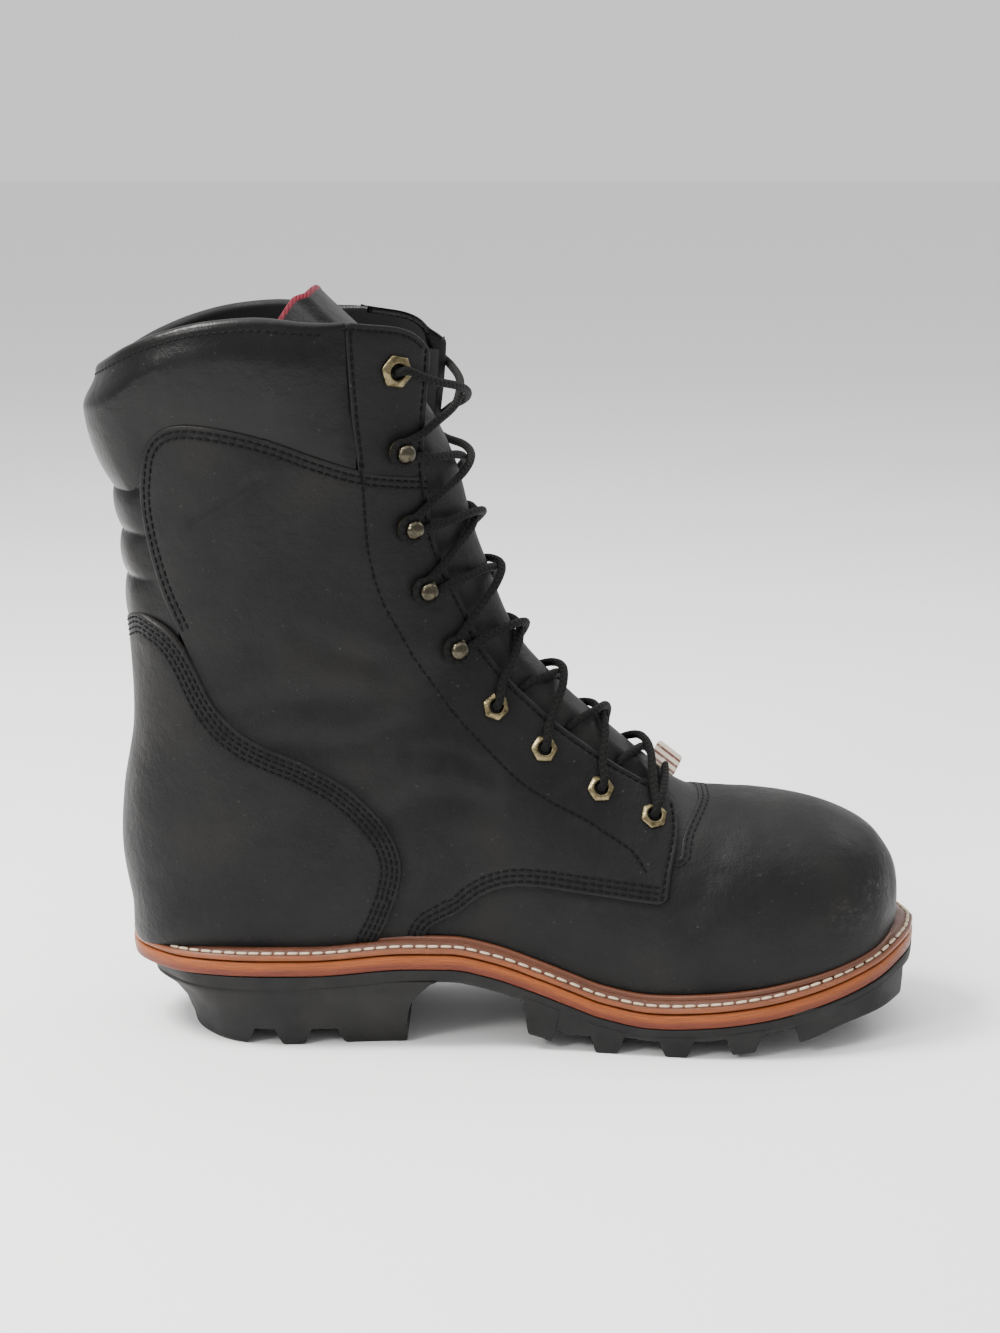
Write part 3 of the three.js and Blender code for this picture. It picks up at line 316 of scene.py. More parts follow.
def unit(vectors):
    return vectors / np.maximum(np.linalg.norm(vectors, axis=-1, keepdims=True), 1e-9)


def travel(points):
    """Distance along a line at each of its points."""
    return np.concatenate([[0], np.cumsum(np.linalg.norm(np.diff(points, axis=0), axis=1))])


def at_travel(goals, travelled, rows):
    """Rows that belong to the points of a line, at chosen distances along it."""
    return np.stack([np.interp(goals, travelled, column) for column in rows.T], 1)


def even_line(points, spacing, rows=None):
    """The points of a line, or rows that belong to them, at even steps along it."""
    travelled = travel(points)
    count = max(2, int(round(travelled[-1] / spacing)) + 1)
    return at_travel(np.linspace(0, travelled[-1], count), travelled, points if rows is None else rows)


def even_loop(loop, count):
    """Evenly spaced points on a closed line, and their distances along it."""
    travelled = travel(loop)
    goals = np.linspace(0, travelled[-1], count, endpoint=False)
    return at_travel(goals, travelled, loop), goals


def crowded(count):
    """Shares from 0 to 1 that lie closer together near both ends."""
    return 0.5 - 0.5 * np.cos(np.linspace(0, PI, count))


# Heights along the sole
def along_sole(x):
    return (x + HEEL_SHELF) / SOLE_LENGTH


def sole_x(along):
    return along * SOLE_LENGTH - HEEL_SHELF


def rubber_top(x):
    heel = curve(HEEL_CURVE, along_sole(x)) * (HEEL_HEIGHT - BALL_HEIGHT)
    return BALL_HEIGHT + heel + curve(TOE_CURVE, along_sole(x)) * TOE_SPRING


def seat(x):
    return rubber_top(x) + SEAT_RISE


def lug_bottom(x):
    return curve(LUG_CURVE, along_sole(x)) * TOE_SPRING


def section_rows():
    rows = []
    for bottom_x, sink, crest_x, crest, inner, outer, middle, low, top, lean in FOOT_SECTIONS:
        x = bottom_x * LAST_LENGTH
        crest_z = BALL_SEAT + crest * INSTEP_HEIGHT
        sides = (inner * BALL_WIDTH, outer * BALL_WIDTH)
        start = (x, seat(x) - sink * FORM_SINK, crest_x * LAST_LENGTH, crest_z)
        rows.append((*start, *sides, middle, low, top, lean))
    for back_x, back, crest_x, crest, inner, outer, middle, low, top, lean in SHAFT_SECTIONS:
        start = (back_x * LAST_LENGTH, HEEL_SEAT + back * SHAFT_RISE, crest_x * LAST_LENGTH)
        sides = (inner * HEEL_WIDTH, outer * HEEL_WIDTH)
        rows.append((*start, mix(ANKLE_Z, COLLAR_Z, crest), *sides, middle, low, top, lean))
    return np.array(rows)


SECTIONS = section_rows()
LAST_STATION = len(SECTIONS) - 1


def form_point(station, angle):
    """Point of the form; the angle goes from the crest over the outer side, right round."""
    station, angle = np.broadcast_arrays(np.asarray(station, float), np.asarray(angle, float))
    row = spline(SECTIONS, station)
    bottom_x, bottom_z, crest_x, crest_z, inner, outer, middle, low, top, lean = np.moveaxis(row, -1, 0)
    height = np.hypot(crest_x - bottom_x, crest_z - bottom_z)
    sine, cosine = np.sin(angle), np.cos(angle)
    half = np.where(sine < 0, inner, outer)
    power = np.where(cosine > 0, top, low)
    rise = np.sign(cosine) * np.abs(cosine) ** (2 / power)
    reach = np.abs(sine) ** (2 / power)
    up = middle * height + np.where(cosine > 0, 1 - middle, middle) * height * rise
    x = bottom_x + (crest_x - bottom_x) * up / height
    y = np.sign(sine) * half * reach + lean * up / height
    return np.stack([x, y, bottom_z + (crest_z - bottom_z) * up / height], -1)


SLOPE_STEP = 0.004


def form_slopes(station, angle):
    """Directions of growing station and angle on the form."""
    after = form_point(np.clip(station + SLOPE_STEP, 0, LAST_STATION), angle)
    before = form_point(np.clip(station - SLOPE_STEP, 0, LAST_STATION), angle)
    turned = form_point(station, angle + SLOPE_STEP) - form_point(station, angle - SLOPE_STEP)
    return (after - before) / (2 * SLOPE_STEP), turned / (2 * SLOPE_STEP)


def form_normal(station, angle):
    along, turned = form_slopes(station, angle)
    return unit(np.cross(turned, along))


def form_line(places):
    """Points of the form at rows of station and angle."""
    return form_point(places[:, 0], places[:, 1])


def over_form(station, angle, level):
    """Point at a height over the form."""
    return form_point(station, angle) + form_normal(station, angle) * np.asarray(level)[..., None]


def angle_at(station, y):
    """Angle of the place on the form that lies y sideways from the crest."""
    station, y = np.broadcast_arrays(np.asarray(station, float), np.asarray(y, float))
    row = spline(SECTIONS, station)
    aside = y - row[..., 9]
    half = np.where(aside < 0, row[..., 4], row[..., 5])
    sine = np.minimum(np.abs(aside) / half, 1) ** (row[..., 8] / 2)
    return np.sign(aside) * np.arcsin(sine)


def throat_half(station):
    return curve(THROAT, station) * THROAT_HALF


# Creases: side view lines (x, z), with depth and width in millimetres, on one side or both
CREASES = [
    (INNER, [(55, 226), (42, 217), (30, 210)], 0.7, 2.6),
    (INNER, [(34, 133), (60, 140), (86, 139)], 0.9, 6),
    (INNER, [(60, 124), (84, 122), (108, 128)], 0.7, 5),
    (INNER, [(112, 118), (128, 116), (142, 108)], 0.6, 4),
    (INNER, [(98, 92), (116, 100), (140, 98)], 0.8, 6),
    (INNER, [(70, 166), (84, 158), (98, 154)], 0.6, 5),
    (OUTER, [(36, 135), (62, 141), (92, 138)], 1.0, 6),
    (OUTER, [(58, 118), (84, 121), (112, 130)], 0.8, 5),
    (OUTER, [(100, 94), (120, 100), (146, 96)], 0.8, 6),
    (OUTER, [(66, 168), (84, 160), (100, 158)], 0.6, 5),
    (OUTER, [(60, 222), (44, 214), (30, 205)], 0.6, 3),
    (INNER, [(236, 88), (228, 76), (222, 62)], 0.35, 5),
    (OUTER, [(238, 88), (230, 76), (226, 60)], 0.45, 5),
]


def line_distance(points, line):
    """Distance from each point to a line through the given corners, in any number of dimensions."""
    line = np.asarray(line, float)
    start, span = line[:-1], np.diff(line, axis=0)
    length = np.maximum((span**2).sum(1), 1e-12)
    best = np.full(len(points), 1e9)
    chunk = 3000
    for first in range(0, len(points), chunk):
        part = points[first : first + chunk, None] - start
        share = np.clip((part * span).sum(2) / length, 0, 1)
        gap = part - share[..., None] * span
        best[first : first + chunk] = np.sqrt((gap**2).sum(2)).min(1)
    return best


def crease_level(points):
    """Soft troughs with a low ridge on both sides."""
    level = np.zeros(len(points))
    for side, corners, depth, width in CREASES:
        near = line_distance(points[:, [0, 2]], smooth_line(corners, width / 2)) / width
        on_side = ease(2, 14, points[:, 1] * side)
        level += on_side * depth * (0.45 * np.exp(-((near - 1.5) ** 2)) - np.exp(-(near**2)))
    return level


def smooth_line(corners, spacing):
    """Evenly spaced points on a smooth curve through given corners."""
    corners = np.asarray(corners, float)
    dense = spline(corners, np.linspace(0, len(corners) - 1, 40 * len(corners)))
    return even_line(dense, spacing)


def surface(station, angle, level):
    """Point on the leather: the form raised by a level, with the creases."""
    station, angle = np.broadcast_arrays(np.asarray(station, float), np.asarray(angle, float))
    shape = station.shape
    flat, turn = station.ravel(), angle.ravel()
    points = form_point(flat, turn)
    raised = np.broadcast_to(level, shape).ravel() + crease_level(points)
    return (points + form_normal(flat, turn) * raised[:, None]).reshape(*shape, 3)


def locate(corners, side):
    """Station and angle of places on the form given in side view (x, z)."""
    corners = np.asarray(corners, float)
    stations = np.linspace(0, LAST_STATION, 2601)
    rows = spline(SECTIONS, stations)
    x, z = corners[:, :1], corners[:, 1:2]
    across = rows[:, 2:4] - rows[:, 0:2]
    turn = across[:, 0] * (z - rows[:, 1]) - across[:, 1] * (x - rows[:, 0])
    share = ((x - rows[:, 0]) * across[:, 0] + (z - rows[:, 1]) * across[:, 1]) / (across**2).sum(1)
    found = []
    for i in range(len(corners)):
        crossing = np.nonzero(turn[i, :-1] * turn[i, 1:] <= 0)[0]
        k = min(crossing, key=lambda n: abs(share[i, n] - 0.5))
        part = turn[i, k] / (turn[i, k] - turn[i, k + 1])
        station = mix(stations[k], stations[k + 1], part)
        up = mix(share[i, k], share[i, k + 1], part)
        row = spline(SECTIONS, station)
        middle = row[6]
        rise = (up - middle) / (1 - middle if up > middle else middle)
        power = row[8] if up > middle else row[7]
        cosine = math.copysign(min(abs(rise), 1) ** (power / 2), rise)
        angle = math.acos(cosine)
        found.append((station, angle if side == OUTER else 2 * PI - angle))
    return np.array(found)


def step_aside(places, direction, reach):
    """Moves (station, angle) places over the surface by a length in a direction."""
    along, turned = form_slopes(places[:, 0], places[:, 1])
    a11, a12, a22 = (along**2).sum(1), (along * turned).sum(1), (turned**2).sum(1)
    b1, b2 = (along * direction).sum(1) * reach, (turned * direction).sum(1) * reach
    scale = a11 * a22 - a12**2
    step = np.stack([(a22 * b1 - a12 * b2) / scale, (a11 * b2 - a12 * b1) / scale], 1)
    return places + step


def beside(places, reach):
    """The line beside a line on the surface, at a distance to its left."""
    steps = max(1, int(abs(reach) / 0.8))
    for _ in range(steps):
        points = form_line(places)
        ahead = unit(np.gradient(points, axis=0))
        left = np.cross(form_normal(places[:, 0], places[:, 1]), ahead)
        places = step_aside(places, left, reach / steps)
    return places


def even_places(places, spacing):
    """The same line with its places evenly spaced on the surface."""
    return even_line(form_line(places), spacing, places)


# Meshes
def world(points):
    moved = np.array(points, float)
    moved[..., 0] -= HEEL_REST_X
    return moved * MM


def add_mesh(name, points, faces, materials, indices=None, values=None, slot="leather"):
    """A mesh on the boot's body from millimetre points, with per-vertex numbers for its materials."""
    mesh = bpy.data.meshes.new(name)
    faces = [tuple(int(k) for k in face) for face in faces]
    mesh.from_pydata(world(points).tolist(), [], faces)
    for material in materials:
        mesh.materials.append(material)
    if indices is not None:
        mesh.polygons.foreach_set("material_index", np.asarray(indices, np.int32))
    mesh.polygons.foreach_set("use_smooth", np.full(len(faces), True))
    for label, column in (values or {}).items():
        column = np.asarray(column, float)
        kind = "FLOAT_VECTOR" if column.ndim == 2 else "FLOAT"
        attribute = mesh.attributes.new(label, kind, "POINT")
        attribute.data.foreach_set("vector" if column.ndim == 2 else "value", column.ravel())
    mesh.update()
    piece = bpy.data.objects.new(name, mesh)
    bpy.context.scene.collection.objects.link(piece)
    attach(piece, "root")
    return piece


def joined(parts):
    """Several pairs of points and faces as one pair."""
    points, faces, start = [], [], 0
    for part_points, part_faces in parts:
        points.append(part_points)
        faces += [[k + start for k in face] for face in part_faces]
        start += len(part_points)
    return np.concatenate(points), faces


def grid_faces(rows, columns, closed=False):
    """Quads of a grid of points, row by row; closed joins the last column to the first."""
    i, j = np.meshgrid(np.arange(rows - 1), np.arange(columns if closed else columns - 1), indexing="ij")
    here, right = i * columns + j, i * columns + (j + 1) % columns
    return np.stack([here, right, right + columns, here + columns], -1).reshape(-1, 4)


def ring_angles(stations, first, last, count):
    """Angles evenly spaced round the form at each station, between two limits."""
    fine = np.linspace(0, 2 * PI, 721)
    points = form_point(stations[:, None], fine[None, :])
    gaps = np.linalg.norm(np.diff(points, axis=1), axis=2)
    travelled = np.concatenate([np.zeros((len(stations), 1)), np.cumsum(gaps, axis=1)], 1)
    angles = []
    for i in range(len(stations)):
        limits = np.interp([first[i], last[i]], fine, travelled[i])
        angles.append(np.interp(np.linspace(limits[0], limits[1], count), travelled[i], fine))
    return np.array(angles)


def split_at(vertices, faces, column, cut):
    """Cuts triangles along the line where a column of the vertices passes a value."""
    values = vertices[:, column]
    above = (values > cut)[faces]
    count = above.sum(1)
    whole = (count == 0) | (count == 3)
    mixed, sides = faces[~whole], above[~whole]
    lone_above = sides.sum(1) == 1
    lone = np.argmax(sides == lone_above[:, None], axis=1)
    rows = np.arange(len(mixed))
    a, b, c = (mixed[rows, (lone + k) % 3] for k in range(3))
    edges = np.sort(np.concatenate([np.stack([a, b], 1), np.stack([a, c], 1)]), axis=1)
    unique, index = np.unique(edges, axis=0, return_inverse=True)
    index = index.ravel()
    start, end = vertices[unique[:, 0]], vertices[unique[:, 1]]
    share = (cut - start[:, column]) / (end[:, column] - start[:, column])
    new = start + share[:, None] * (end - start)
    new[:, column] = cut
    p, q = len(vertices) + index[: len(a)], len(vertices) + index[len(a) :]
    parts = [faces[whole], np.stack([a, p, q], 1), np.stack([p, b, c], 1), np.stack([p, c, q], 1)]
    return np.concatenate([vertices, new]), np.concatenate(parts)


def inside_loop(places, loop):
    """Whether (station, angle) places lie inside a closed loop of such places."""
    inside = np.zeros(len(places), bool)
    x, y = places[:, 0], places[:, 1]
    for (x1, y1), (x2, y2) in zip(loop, np.roll(loop, -1, axis=0)):
        if y1 != y2:
            crosses = (y1 > y) != (y2 > y)
            inside ^= crosses & (x < (x2 - x1) * (y - y1) / (y2 - y1) + x1)
    return inside


# Width over which a cut edge is rolled, and distances that stand for nowhere near
EDGE_ROLL = 0.9
FAR_EDGE = 5.0
FAR_SEAM = 9.0


def row_dip(near):
    """Groove that a row of stitches pulls into leather."""
    return -0.3 * np.exp(-((near / 0.75) ** 2))


def shade_near(points, lines, reach=2.4):
    """Share of painted shadow on leather next to the edges of pieces that lie over it."""
    near = np.full(len(points), 30.0)
    for line in lines:
        near = np.minimum(near, line_distance(points, form_line(line)))
    return np.exp(-((near / reach) ** 2))


def panel(name, loop, level, material, rings, rows, edge_line=None, drop=-0.5, throat=None, under=()):
    """A piece of leather on the form inside a closed loop of (station, angle) places.

    level is its height over the form, rings are distances from the edge where its mesh is cut,
    rows are lines of stitches that are sewn on it and pull it in, edge_line is the part of the loop
    that shows, under the edges of pieces that lie over it."""
    for row in rows:
        sew(row, level)
    shown = even_places(loop if edge_line is None else edge_line, 1.2)
    low, high = loop.min(0), loop.max(0)
    stations = np.arange(low[0] - 0.15, high[0] + 0.15, 0.08)
    wide = max(24, int((high[1] - low[1]) / 0.028))
    limits = np.ones(len(stations))
    angles = ring_angles(stations, limits * (low[1] - 0.05), limits * (high[1] + 0.05), wide)
    places = np.stack([np.repeat(stations, wide), angles.ravel()], 1)
    distance = np.minimum(line_distance(form_line(places), form_line(shown)), 30)
    signed = np.where(inside_loop(places, loop), distance, -distance)
    quads = grid_faces(len(stations), wide)
    faces = np.concatenate([quads[:, [0, 1, 2]], quads[:, [0, 2, 3]]])
    near = (signed[faces] > -6).all(1)
    vertices = np.column_stack([places, signed])
    vertices, faces = split_at(vertices, faces[near], 2, 0.0)
    faces = faces[(vertices[faces, 2] > -1e-6).all(1)]
    for ring in rings:
        vertices, faces = split_at(vertices, faces, 2, ring)
    used, faces = np.unique(faces, return_inverse=True)
    vertices, faces = vertices[used], faces.reshape(-1, 3)

    places, edge = vertices[:, :2], vertices[:, 2]
    points = form_line(places)
    share = np.clip(edge / EDGE_ROLL, 0, 1)
    height = mix(0.35, 1, np.sqrt(1 - (1 - share) ** 2)) * level
    seam = np.full(len(points), FAR_SEAM)
    for row in rows:
        seam = np.minimum(seam, line_distance(points, form_line(row)))
    height = height + row_dip(seam)
    skin = surface(places[:, 0], places[:, 1], height)

    # Cut edge down to what lies below
    pairs = np.concatenate([faces[:, [0, 1]], faces[:, [1, 2]], faces[:, [2, 0]]])
    key = np.sort(pairs, axis=1)
    _, index, count = np.unique(key, axis=0, return_inverse=True, return_counts=True)
    border = pairs[count[index.ravel()] == 1]
    rim, inverse = np.unique(border, return_inverse=True)
    inverse = inverse.reshape(-1, 2) + len(skin)
    depth = np.full(len(rim), float(drop))
    if throat is not None:
        beyond = line_distance(points[rim], form_line(throat))
        depth = np.where(beyond < 1.0, -WALL, depth)
    foot = surface(places[rim, 0], places[rim, 1], depth)
    walls = np.column_stack([border[:, 1], border[:, 0], inverse[:, 0], inverse[:, 1]])
    all_points = np.concatenate([skin, foot])
    all_faces = [*faces.tolist(), *walls.tolist()]
    values = {
        "edge": np.concatenate([edge, np.zeros(len(rim))]),
        "seam": np.concatenate([seam, np.full(len(rim), FAR_SEAM)]),
        # Painted shadow beside the edges of pieces that lie over it, and painted shade on the wall of the
        # cut edge
        "shade": np.concatenate([shade_near(points, under), np.full(len(rim), 0.6)]),
    }
    return add_mesh(name, all_points, all_faces, [material], values=values)


def beads(name, centres, aheads, ups, length, radius, material, slot="leather"):
    """Many short round-ended beads as one mesh, each along its own direction."""
    sides = 6
    profile = [(-0.5, 0.35), (-0.36, 0.9), (0, 1), (0.36, 0.9), (0.5, 0.35)]
    turn = np.linspace(0, 2 * PI, sides, endpoint=False)
    across = np.cross(ups, aheads)
    rings = []
    for place, size in profile:
        for angle in turn:
            lift = 0.75 * math.sin(angle)
            offset = across * math.cos(angle) + ups * lift
            rings.append(centres + aheads * (place * length) + offset * (size * radius))
    count = len(profile) * sides
    points = np.stack(rings, 1).reshape(-1, 3)
    quads = grid_faces(len(profile), sides, closed=True)
    first = np.array([list(range(sides))[::-1]])
    faces = []
    for k in range(len(centres)):
        faces.extend((quads + k * count).tolist())
        faces.extend((first + k * count).tolist())
        faces.extend((first[:, ::-1] + k * count + count - sides).tolist())
    return add_mesh(name, points, faces, [material], slot=slot)


STITCH_PITCH = 3.1
STITCH_LENGTH = 2.3
STITCH_RADIUS = 0.42
stitch_rows = []


def sew(places, level):
    """Keeps one row of stitches along a line of (station, angle) places, for the joined thread."""
    even = even_places(places, STITCH_PITCH)
    points = surface(even[:, 0], even[:, 1], level - 0.1)
    stitch_rows.append((points, unit(np.gradient(points, axis=0)), form_normal(even[:, 0], even[:, 1])))


def make_thread(material):
    centres, aheads, ups = (np.concatenate(part) for part in zip(*stitch_rows))
    beads("thread", centres, aheads, ups, STITCH_LENGTH, STITCH_RADIUS, material)


def throat_places(first, last, side):
    """Places along the throat's edge on one side."""
    stations = np.linspace(first, last, max(3, int((last - first) * 12)))
    angles = angle_at(stations, side * throat_half(stations))
    return np.stack([stations, np.mod(angles, 2 * PI)], 1)


def station_at_height(side, z):
    """Station where the throat's edge passes a height."""
    places = throat_places(9, 26, side)
    heights = form_line(places)[:, 2]
    return float(np.interp(z, heights, places[:, 0]))


# Materials
def material(name, color, rough, coat=0.0, metal=0.0, sheen=0.0, specular=0.5):
    """A material and its shader."""
    made = bpy.data.materials.new(name)
    made.use_nodes = True
    shader = made.node_tree.nodes["Principled BSDF"]
    shader.inputs["Base Color"].default_value = (*color, 1)
    shader.inputs["Roughness"].default_value = rough
    shader.inputs["Metallic"].default_value = metal
    shader.inputs["Coat Weight"].default_value = coat
    shader.inputs["Coat Roughness"].default_value = 0.35
    shader.inputs["Sheen Weight"].default_value = sheen
    shader.inputs["Sheen Roughness"].default_value = 0.5
    shader.inputs["Specular IOR Level"].default_value = specular
    return made, shader


def fill(made, socket, value):
    """Gives a socket another node's output, or else a plain value."""
    if isinstance(value, bpy.types.NodeSocket):
        made.node_tree.links.new(value, socket)
    else:
        socket.default_value = value


def node(made, kind, inputs=None, **settings):
    """A node with its settings; an input is a number, a colour or another node's output."""
    new = made.node_tree.nodes.new(kind)
    for key, value in settings.items():
        setattr(new, key, value)
    for key, value in (inputs or {}).items():
        fill(made, new.inputs[key], value)
    return new


def place_output(made):
    return node(made, "ShaderNodeTexCoord").outputs["Object"]


def noise(made, scale, detail, where=None, rough=0.5):
    spot = place_output(made) if where is None else where
    inputs = {"Vector": spot, "Scale": scale, "Detail": detail, "Roughness": rough}
    return node(made, "ShaderNodeTexNoise", inputs).outputs["Fac"]


def remap(made, value, low, high, to_low, to_high):
    inputs = {"Value": value, "From Min": low, "From Max": high, "To Min": to_low, "To Max": to_high}
    return node(made, "ShaderNodeMapRange", inputs).outputs["Result"]


def blend_colors(made, share, first, second):
    mixer = node(made, "ShaderNodeMix", data_type="RGBA")
    for key, value in (("Factor", share), ("A", first), ("B", second)):
        socket = [s for s in mixer.inputs if s.name == key and s.enabled][0]
        fill(made, socket, (*value, 1) if isinstance(value, tuple) else value)
    return [s for s in mixer.outputs if s.enabled][0]


def calculate(made, operation, first, second):
    new = node(made, "ShaderNodeMath", operation=operation)
    for socket, value in zip(new.inputs, (first, second)):
        fill(made, socket, value)
    return new.outputs[0]


def bump(made, height, distance, strength=1.0, below=None):
    inputs = {"Height": height, "Distance": distance, "Strength": strength}
    if below is not None:
        inputs["Normal"] = below
    return node(made, "ShaderNodeBump", inputs).outputs["Normal"]


def attribute(made, name, kind="Fac"):
    return node(made, "ShaderNodeAttribute", attribute_name=name).outputs[kind]


def link(made, output, shader, name):
    made.node_tree.links.new(output, shader.inputs[name])


def cloudy_roughness(made, shader, scale, detail, low, high):
    """Roughness that drifts between two values."""
    link(made, remap(made, noise(made, scale, detail), 0.3, 0.7, low, high), shader, "Roughness")


def leather_material(name, dark, light, rough, haze, grain=1.0, shine=0.2):
    """Oiled leather: cloudy colour, rubbed edges, painted shade along the stitch rows and beside pieces
    that lie over it, fine grain and soft folds.
    """
    made, shader = material(name, dark, rough, coat=0.02, sheen=haze, specular=shine)
    cloud = remap(made, noise(made, 22, 4), 0.35, 0.7, 0, 1)
    patch = remap(made, noise(made, 75, 5, rough=0.6), 0.42, 0.72, 0, 0.55)
    tone = blend_colors(made, calculate(made, "MAXIMUM", cloud, patch), dark, light)
    edge = remap(made, attribute(made, "edge"), 0.0, 1.1, 0.55, 0.0)
    worn = tuple(min(1, 2.1 * c) for c in light)
    tone = blend_colors(made, calculate(made, "MULTIPLY", edge, noise(made, 160, 2)), tone, worn)
    # Painted shade: darker in the grooves that the rows of stitches pull in
    seam = remap(made, attribute(made, "seam"), 0.2, 1.1, 0.62, 0.0)
    tone = blend_colors(made, seam, tone, tuple(0.35 * c for c in dark))
    # Painted shadow from the shade attribute, beside the edges of pieces that lie over this one
    shade = calculate(made, "MULTIPLY", attribute(made, "shade"), 0.85)
    tone = blend_colors(made, shade, tone, (0.0012, 0.0012, 0.0013))
    broken = remap(made, noise(made, 330, 5, rough=0.7), 0.5, 0.68, 0, 1)
    scuff = calculate(made, "MULTIPLY", attribute(made, "scuff"), broken)
    tone = blend_colors(made, scuff, tone, (0.045, 0.043, 0.04))
    specks = remap(made, noise(made, 620, 1), 0.76, 0.78, 0, 0.35)
    tone = blend_colors(made, specks, tone, (0.06, 0.057, 0.052))
    link(made, tone, shader, "Base Color")
    cloudy_roughness(made, shader, 40, 4, rough - 0.07, rough + 0.09)
    cells = node(made, "ShaderNodeTexVoronoi", {"Vector": place_output(made), "Scale": 1100.0})
    pebbles = remap(made, cells.outputs["Distance"], 0, 0.8, 1, 0)
    fine = bump(made, pebbles, 0.00007 * grain)
    folds = bump(made, noise(made, 260, 4, rough=0.6), 0.00035 * grain, below=fine)
    waves = bump(made, noise(made, 48, 3), 0.0016, 0.55, below=folds)
    link(made, waves, shader, "Normal")
    return made


BLACK = (0.0036, 0.0037, 0.0044)
CHARCOAL = (0.0112, 0.0107, 0.0102)
leather = leather_material("oiled_leather", BLACK, CHARCOAL, 0.47, 0.015, shine=0.14)
soft_leather = leather_material(
    "soft_leather", (0.0018, 0.0018, 0.0021), (0.0042, 0.004, 0.0038), 0.32, 0.005, 0.5, shine=0.19
)
# Painted shade: the facings' leather is made darker than the rest because the flaps face away from the
# lights
shaded_facing_leather = leather_material(
    "shaded_facing_leather", (0.0025, 0.0026, 0.0029), (0.0075, 0.0074, 0.0074), 0.5, 0.01, shine=0.15
)
tongue_leather = leather_material(
    "tongue_leather", (0.0045, 0.0045, 0.005), (0.0115, 0.011, 0.0105), 0.48, 0.01
)


def cloth_material(name, color, rough, scale, depth):
    """Woven lining with a fine thread relief."""
    made, shader = material(name, color, rough, sheen=0.05, specular=0.15)
    spot = place_output(made)
    weave = node(made, "ShaderNodeTexWave", {"Vector": spot, "Scale": scale, "Distortion": 1.5})
    shade = remap(made, noise(made, 90, 4), 0.3, 0.7, 0, 0.6)
    tone = blend_colors(made, shade, color, tuple(0.55 * c for c in color))
    link(made, tone, shader, "Base Color")
    link(made, bump(made, weave.outputs["Fac"], depth), shader, "Normal")
    return made


lining_cloth = cloth_material("black_lining", (0.0035, 0.0035, 0.004), 0.85, 900, 0.00004)
burgundy = cloth_material("burgundy_lining", (0.13, 0.008, 0.018), 0.7, 260, 0.0002)


def thread_material(name, color, rough, sheen):
    made, shader = material(name, color, rough, sheen=sheen, specular=0.12)
    tone = blend_colors(made, noise(made, 900, 2), color, tuple(0.6 * c for c in color))
    link(made, tone, shader, "Base Color")
    link(made, bump(made, noise(made, 2600, 2), 0.00012), shader, "Normal")
    return made


black_thread = thread_material("black_thread", (0.0016, 0.0016, 0.002), 0.6, 0.0)
cream_thread = thread_material("cream_thread", (0.62, 0.5, 0.36), 0.5, 0.1)


def lace_material():
    """Round braided cord: two crossing waves along and round it."""
    made, shader = material("braided_cord", (0.008, 0.008, 0.0083), 0.75, sheen=0.02, specular=0.12)
    parts = node(made, "ShaderNodeSeparateXYZ", {"Vector": attribute(made, "strip", "Vector")})
    along = calculate(made, "MULTIPLY", parts.outputs["X"], 2 * PI / 2.6)
    around = calculate(made, "MULTIPLY", parts.outputs["Y"], 3.0)
    first = calculate(made, "SINE", calculate(made, "ADD", along, around), 0.0)
    second = calculate(made, "SINE", calculate(made, "SUBTRACT", along, around), 0.0)
    braid = calculate(made, "MAXIMUM", first, second)
    shade = remap(made, braid, -1, 1, 0, 1)
    tone = blend_colors(made, shade, (0.0015, 0.0015, 0.0016), (0.0045, 0.0044, 0.0042))
    link(made, tone, shader, "Base Color")
    link(made, bump(made, braid, 0.00014), shader, "Normal")
    return made


def strip_material(name, top, bottom, rough, coat, streak, split):
    """Stained leather of an edge or a welt, with streaks along it, from bottom to top colour."""
    made, shader = material(name, top, rough, coat=coat, specular=0.25)
    strip = attribute(made, "strip", "Vector")
    stretched = node(made, "ShaderNodeMapping", {"Vector": strip, "Scale": (0.05, 1.3, 1.3)}).outputs[0]
    lines = remap(made, noise(made, 1.6, 5, stretched, 0.65), 0.36, 0.68, 0, 1)
    blotch = remap(made, noise(made, 60, 4), 0.38, 0.72, 0, 0.8)
    height = node(made, "ShaderNodeSeparateXYZ", {"Vector": strip}).outputs["Y"]
    upper_share = remap(made, height, *split, 0, 1)
    base = blend_colors(made, upper_share, bottom, top)
    dark = tuple(streak * c for c in bottom)
    tone = blend_colors(made, calculate(made, "MULTIPLY", lines, 0.6), base, dark)
    tone = blend_colors(made, calculate(made, "MULTIPLY", blotch, 0.45), tone, tuple(0.7 * c for c in top))
    link(made, tone, shader, "Base Color")
    cloudy_roughness(made, shader, 90, 3, rough - 0.06, rough + 0.1)
    fibres = bump(made, lines, 0.00018)
    link(made, bump(made, noise(made, 1400, 2), 0.00006, below=fibres), shader, "Normal")
    return made


midsole_leather = strip_material(
    "stained_midsole", (0.29, 0.074, 0.013), (0.14, 0.026, 0.012), 0.42, 0.08, 0.4, (2.2, 4.2)
)
welt_leather = strip_material(
    "stained_welt", (0.078, 0.025, 0.011), (0.24, 0.062, 0.014), 0.3, 0.3, 0.5, (8.5, 9.1)
)


def rubber_material():
    """Moulded rubber: matte, a little dusty, with a fine mould texture."""
    made, shader = material("moulded_rubber", (0.014, 0.014, 0.0145), 0.62, sheen=0.03, specular=0.18)
    dust = remap(made, noise(made, 34, 5, rough=0.65), 0.42, 0.72, 0, 0.75)
    tone = blend_colors(made, dust, (0.008, 0.008, 0.0083), (0.018, 0.0172, 0.016))
    link(made, tone, shader, "Base Color")
    cloudy_roughness(made, shader, 60, 4, 0.52, 0.74)
    fine = bump(made, noise(made, 1500, 3), 0.00012)
    link(made, bump(made, noise(made, 120, 3), 0.0004, 0.5, below=fine), shader, "Normal")
    return made


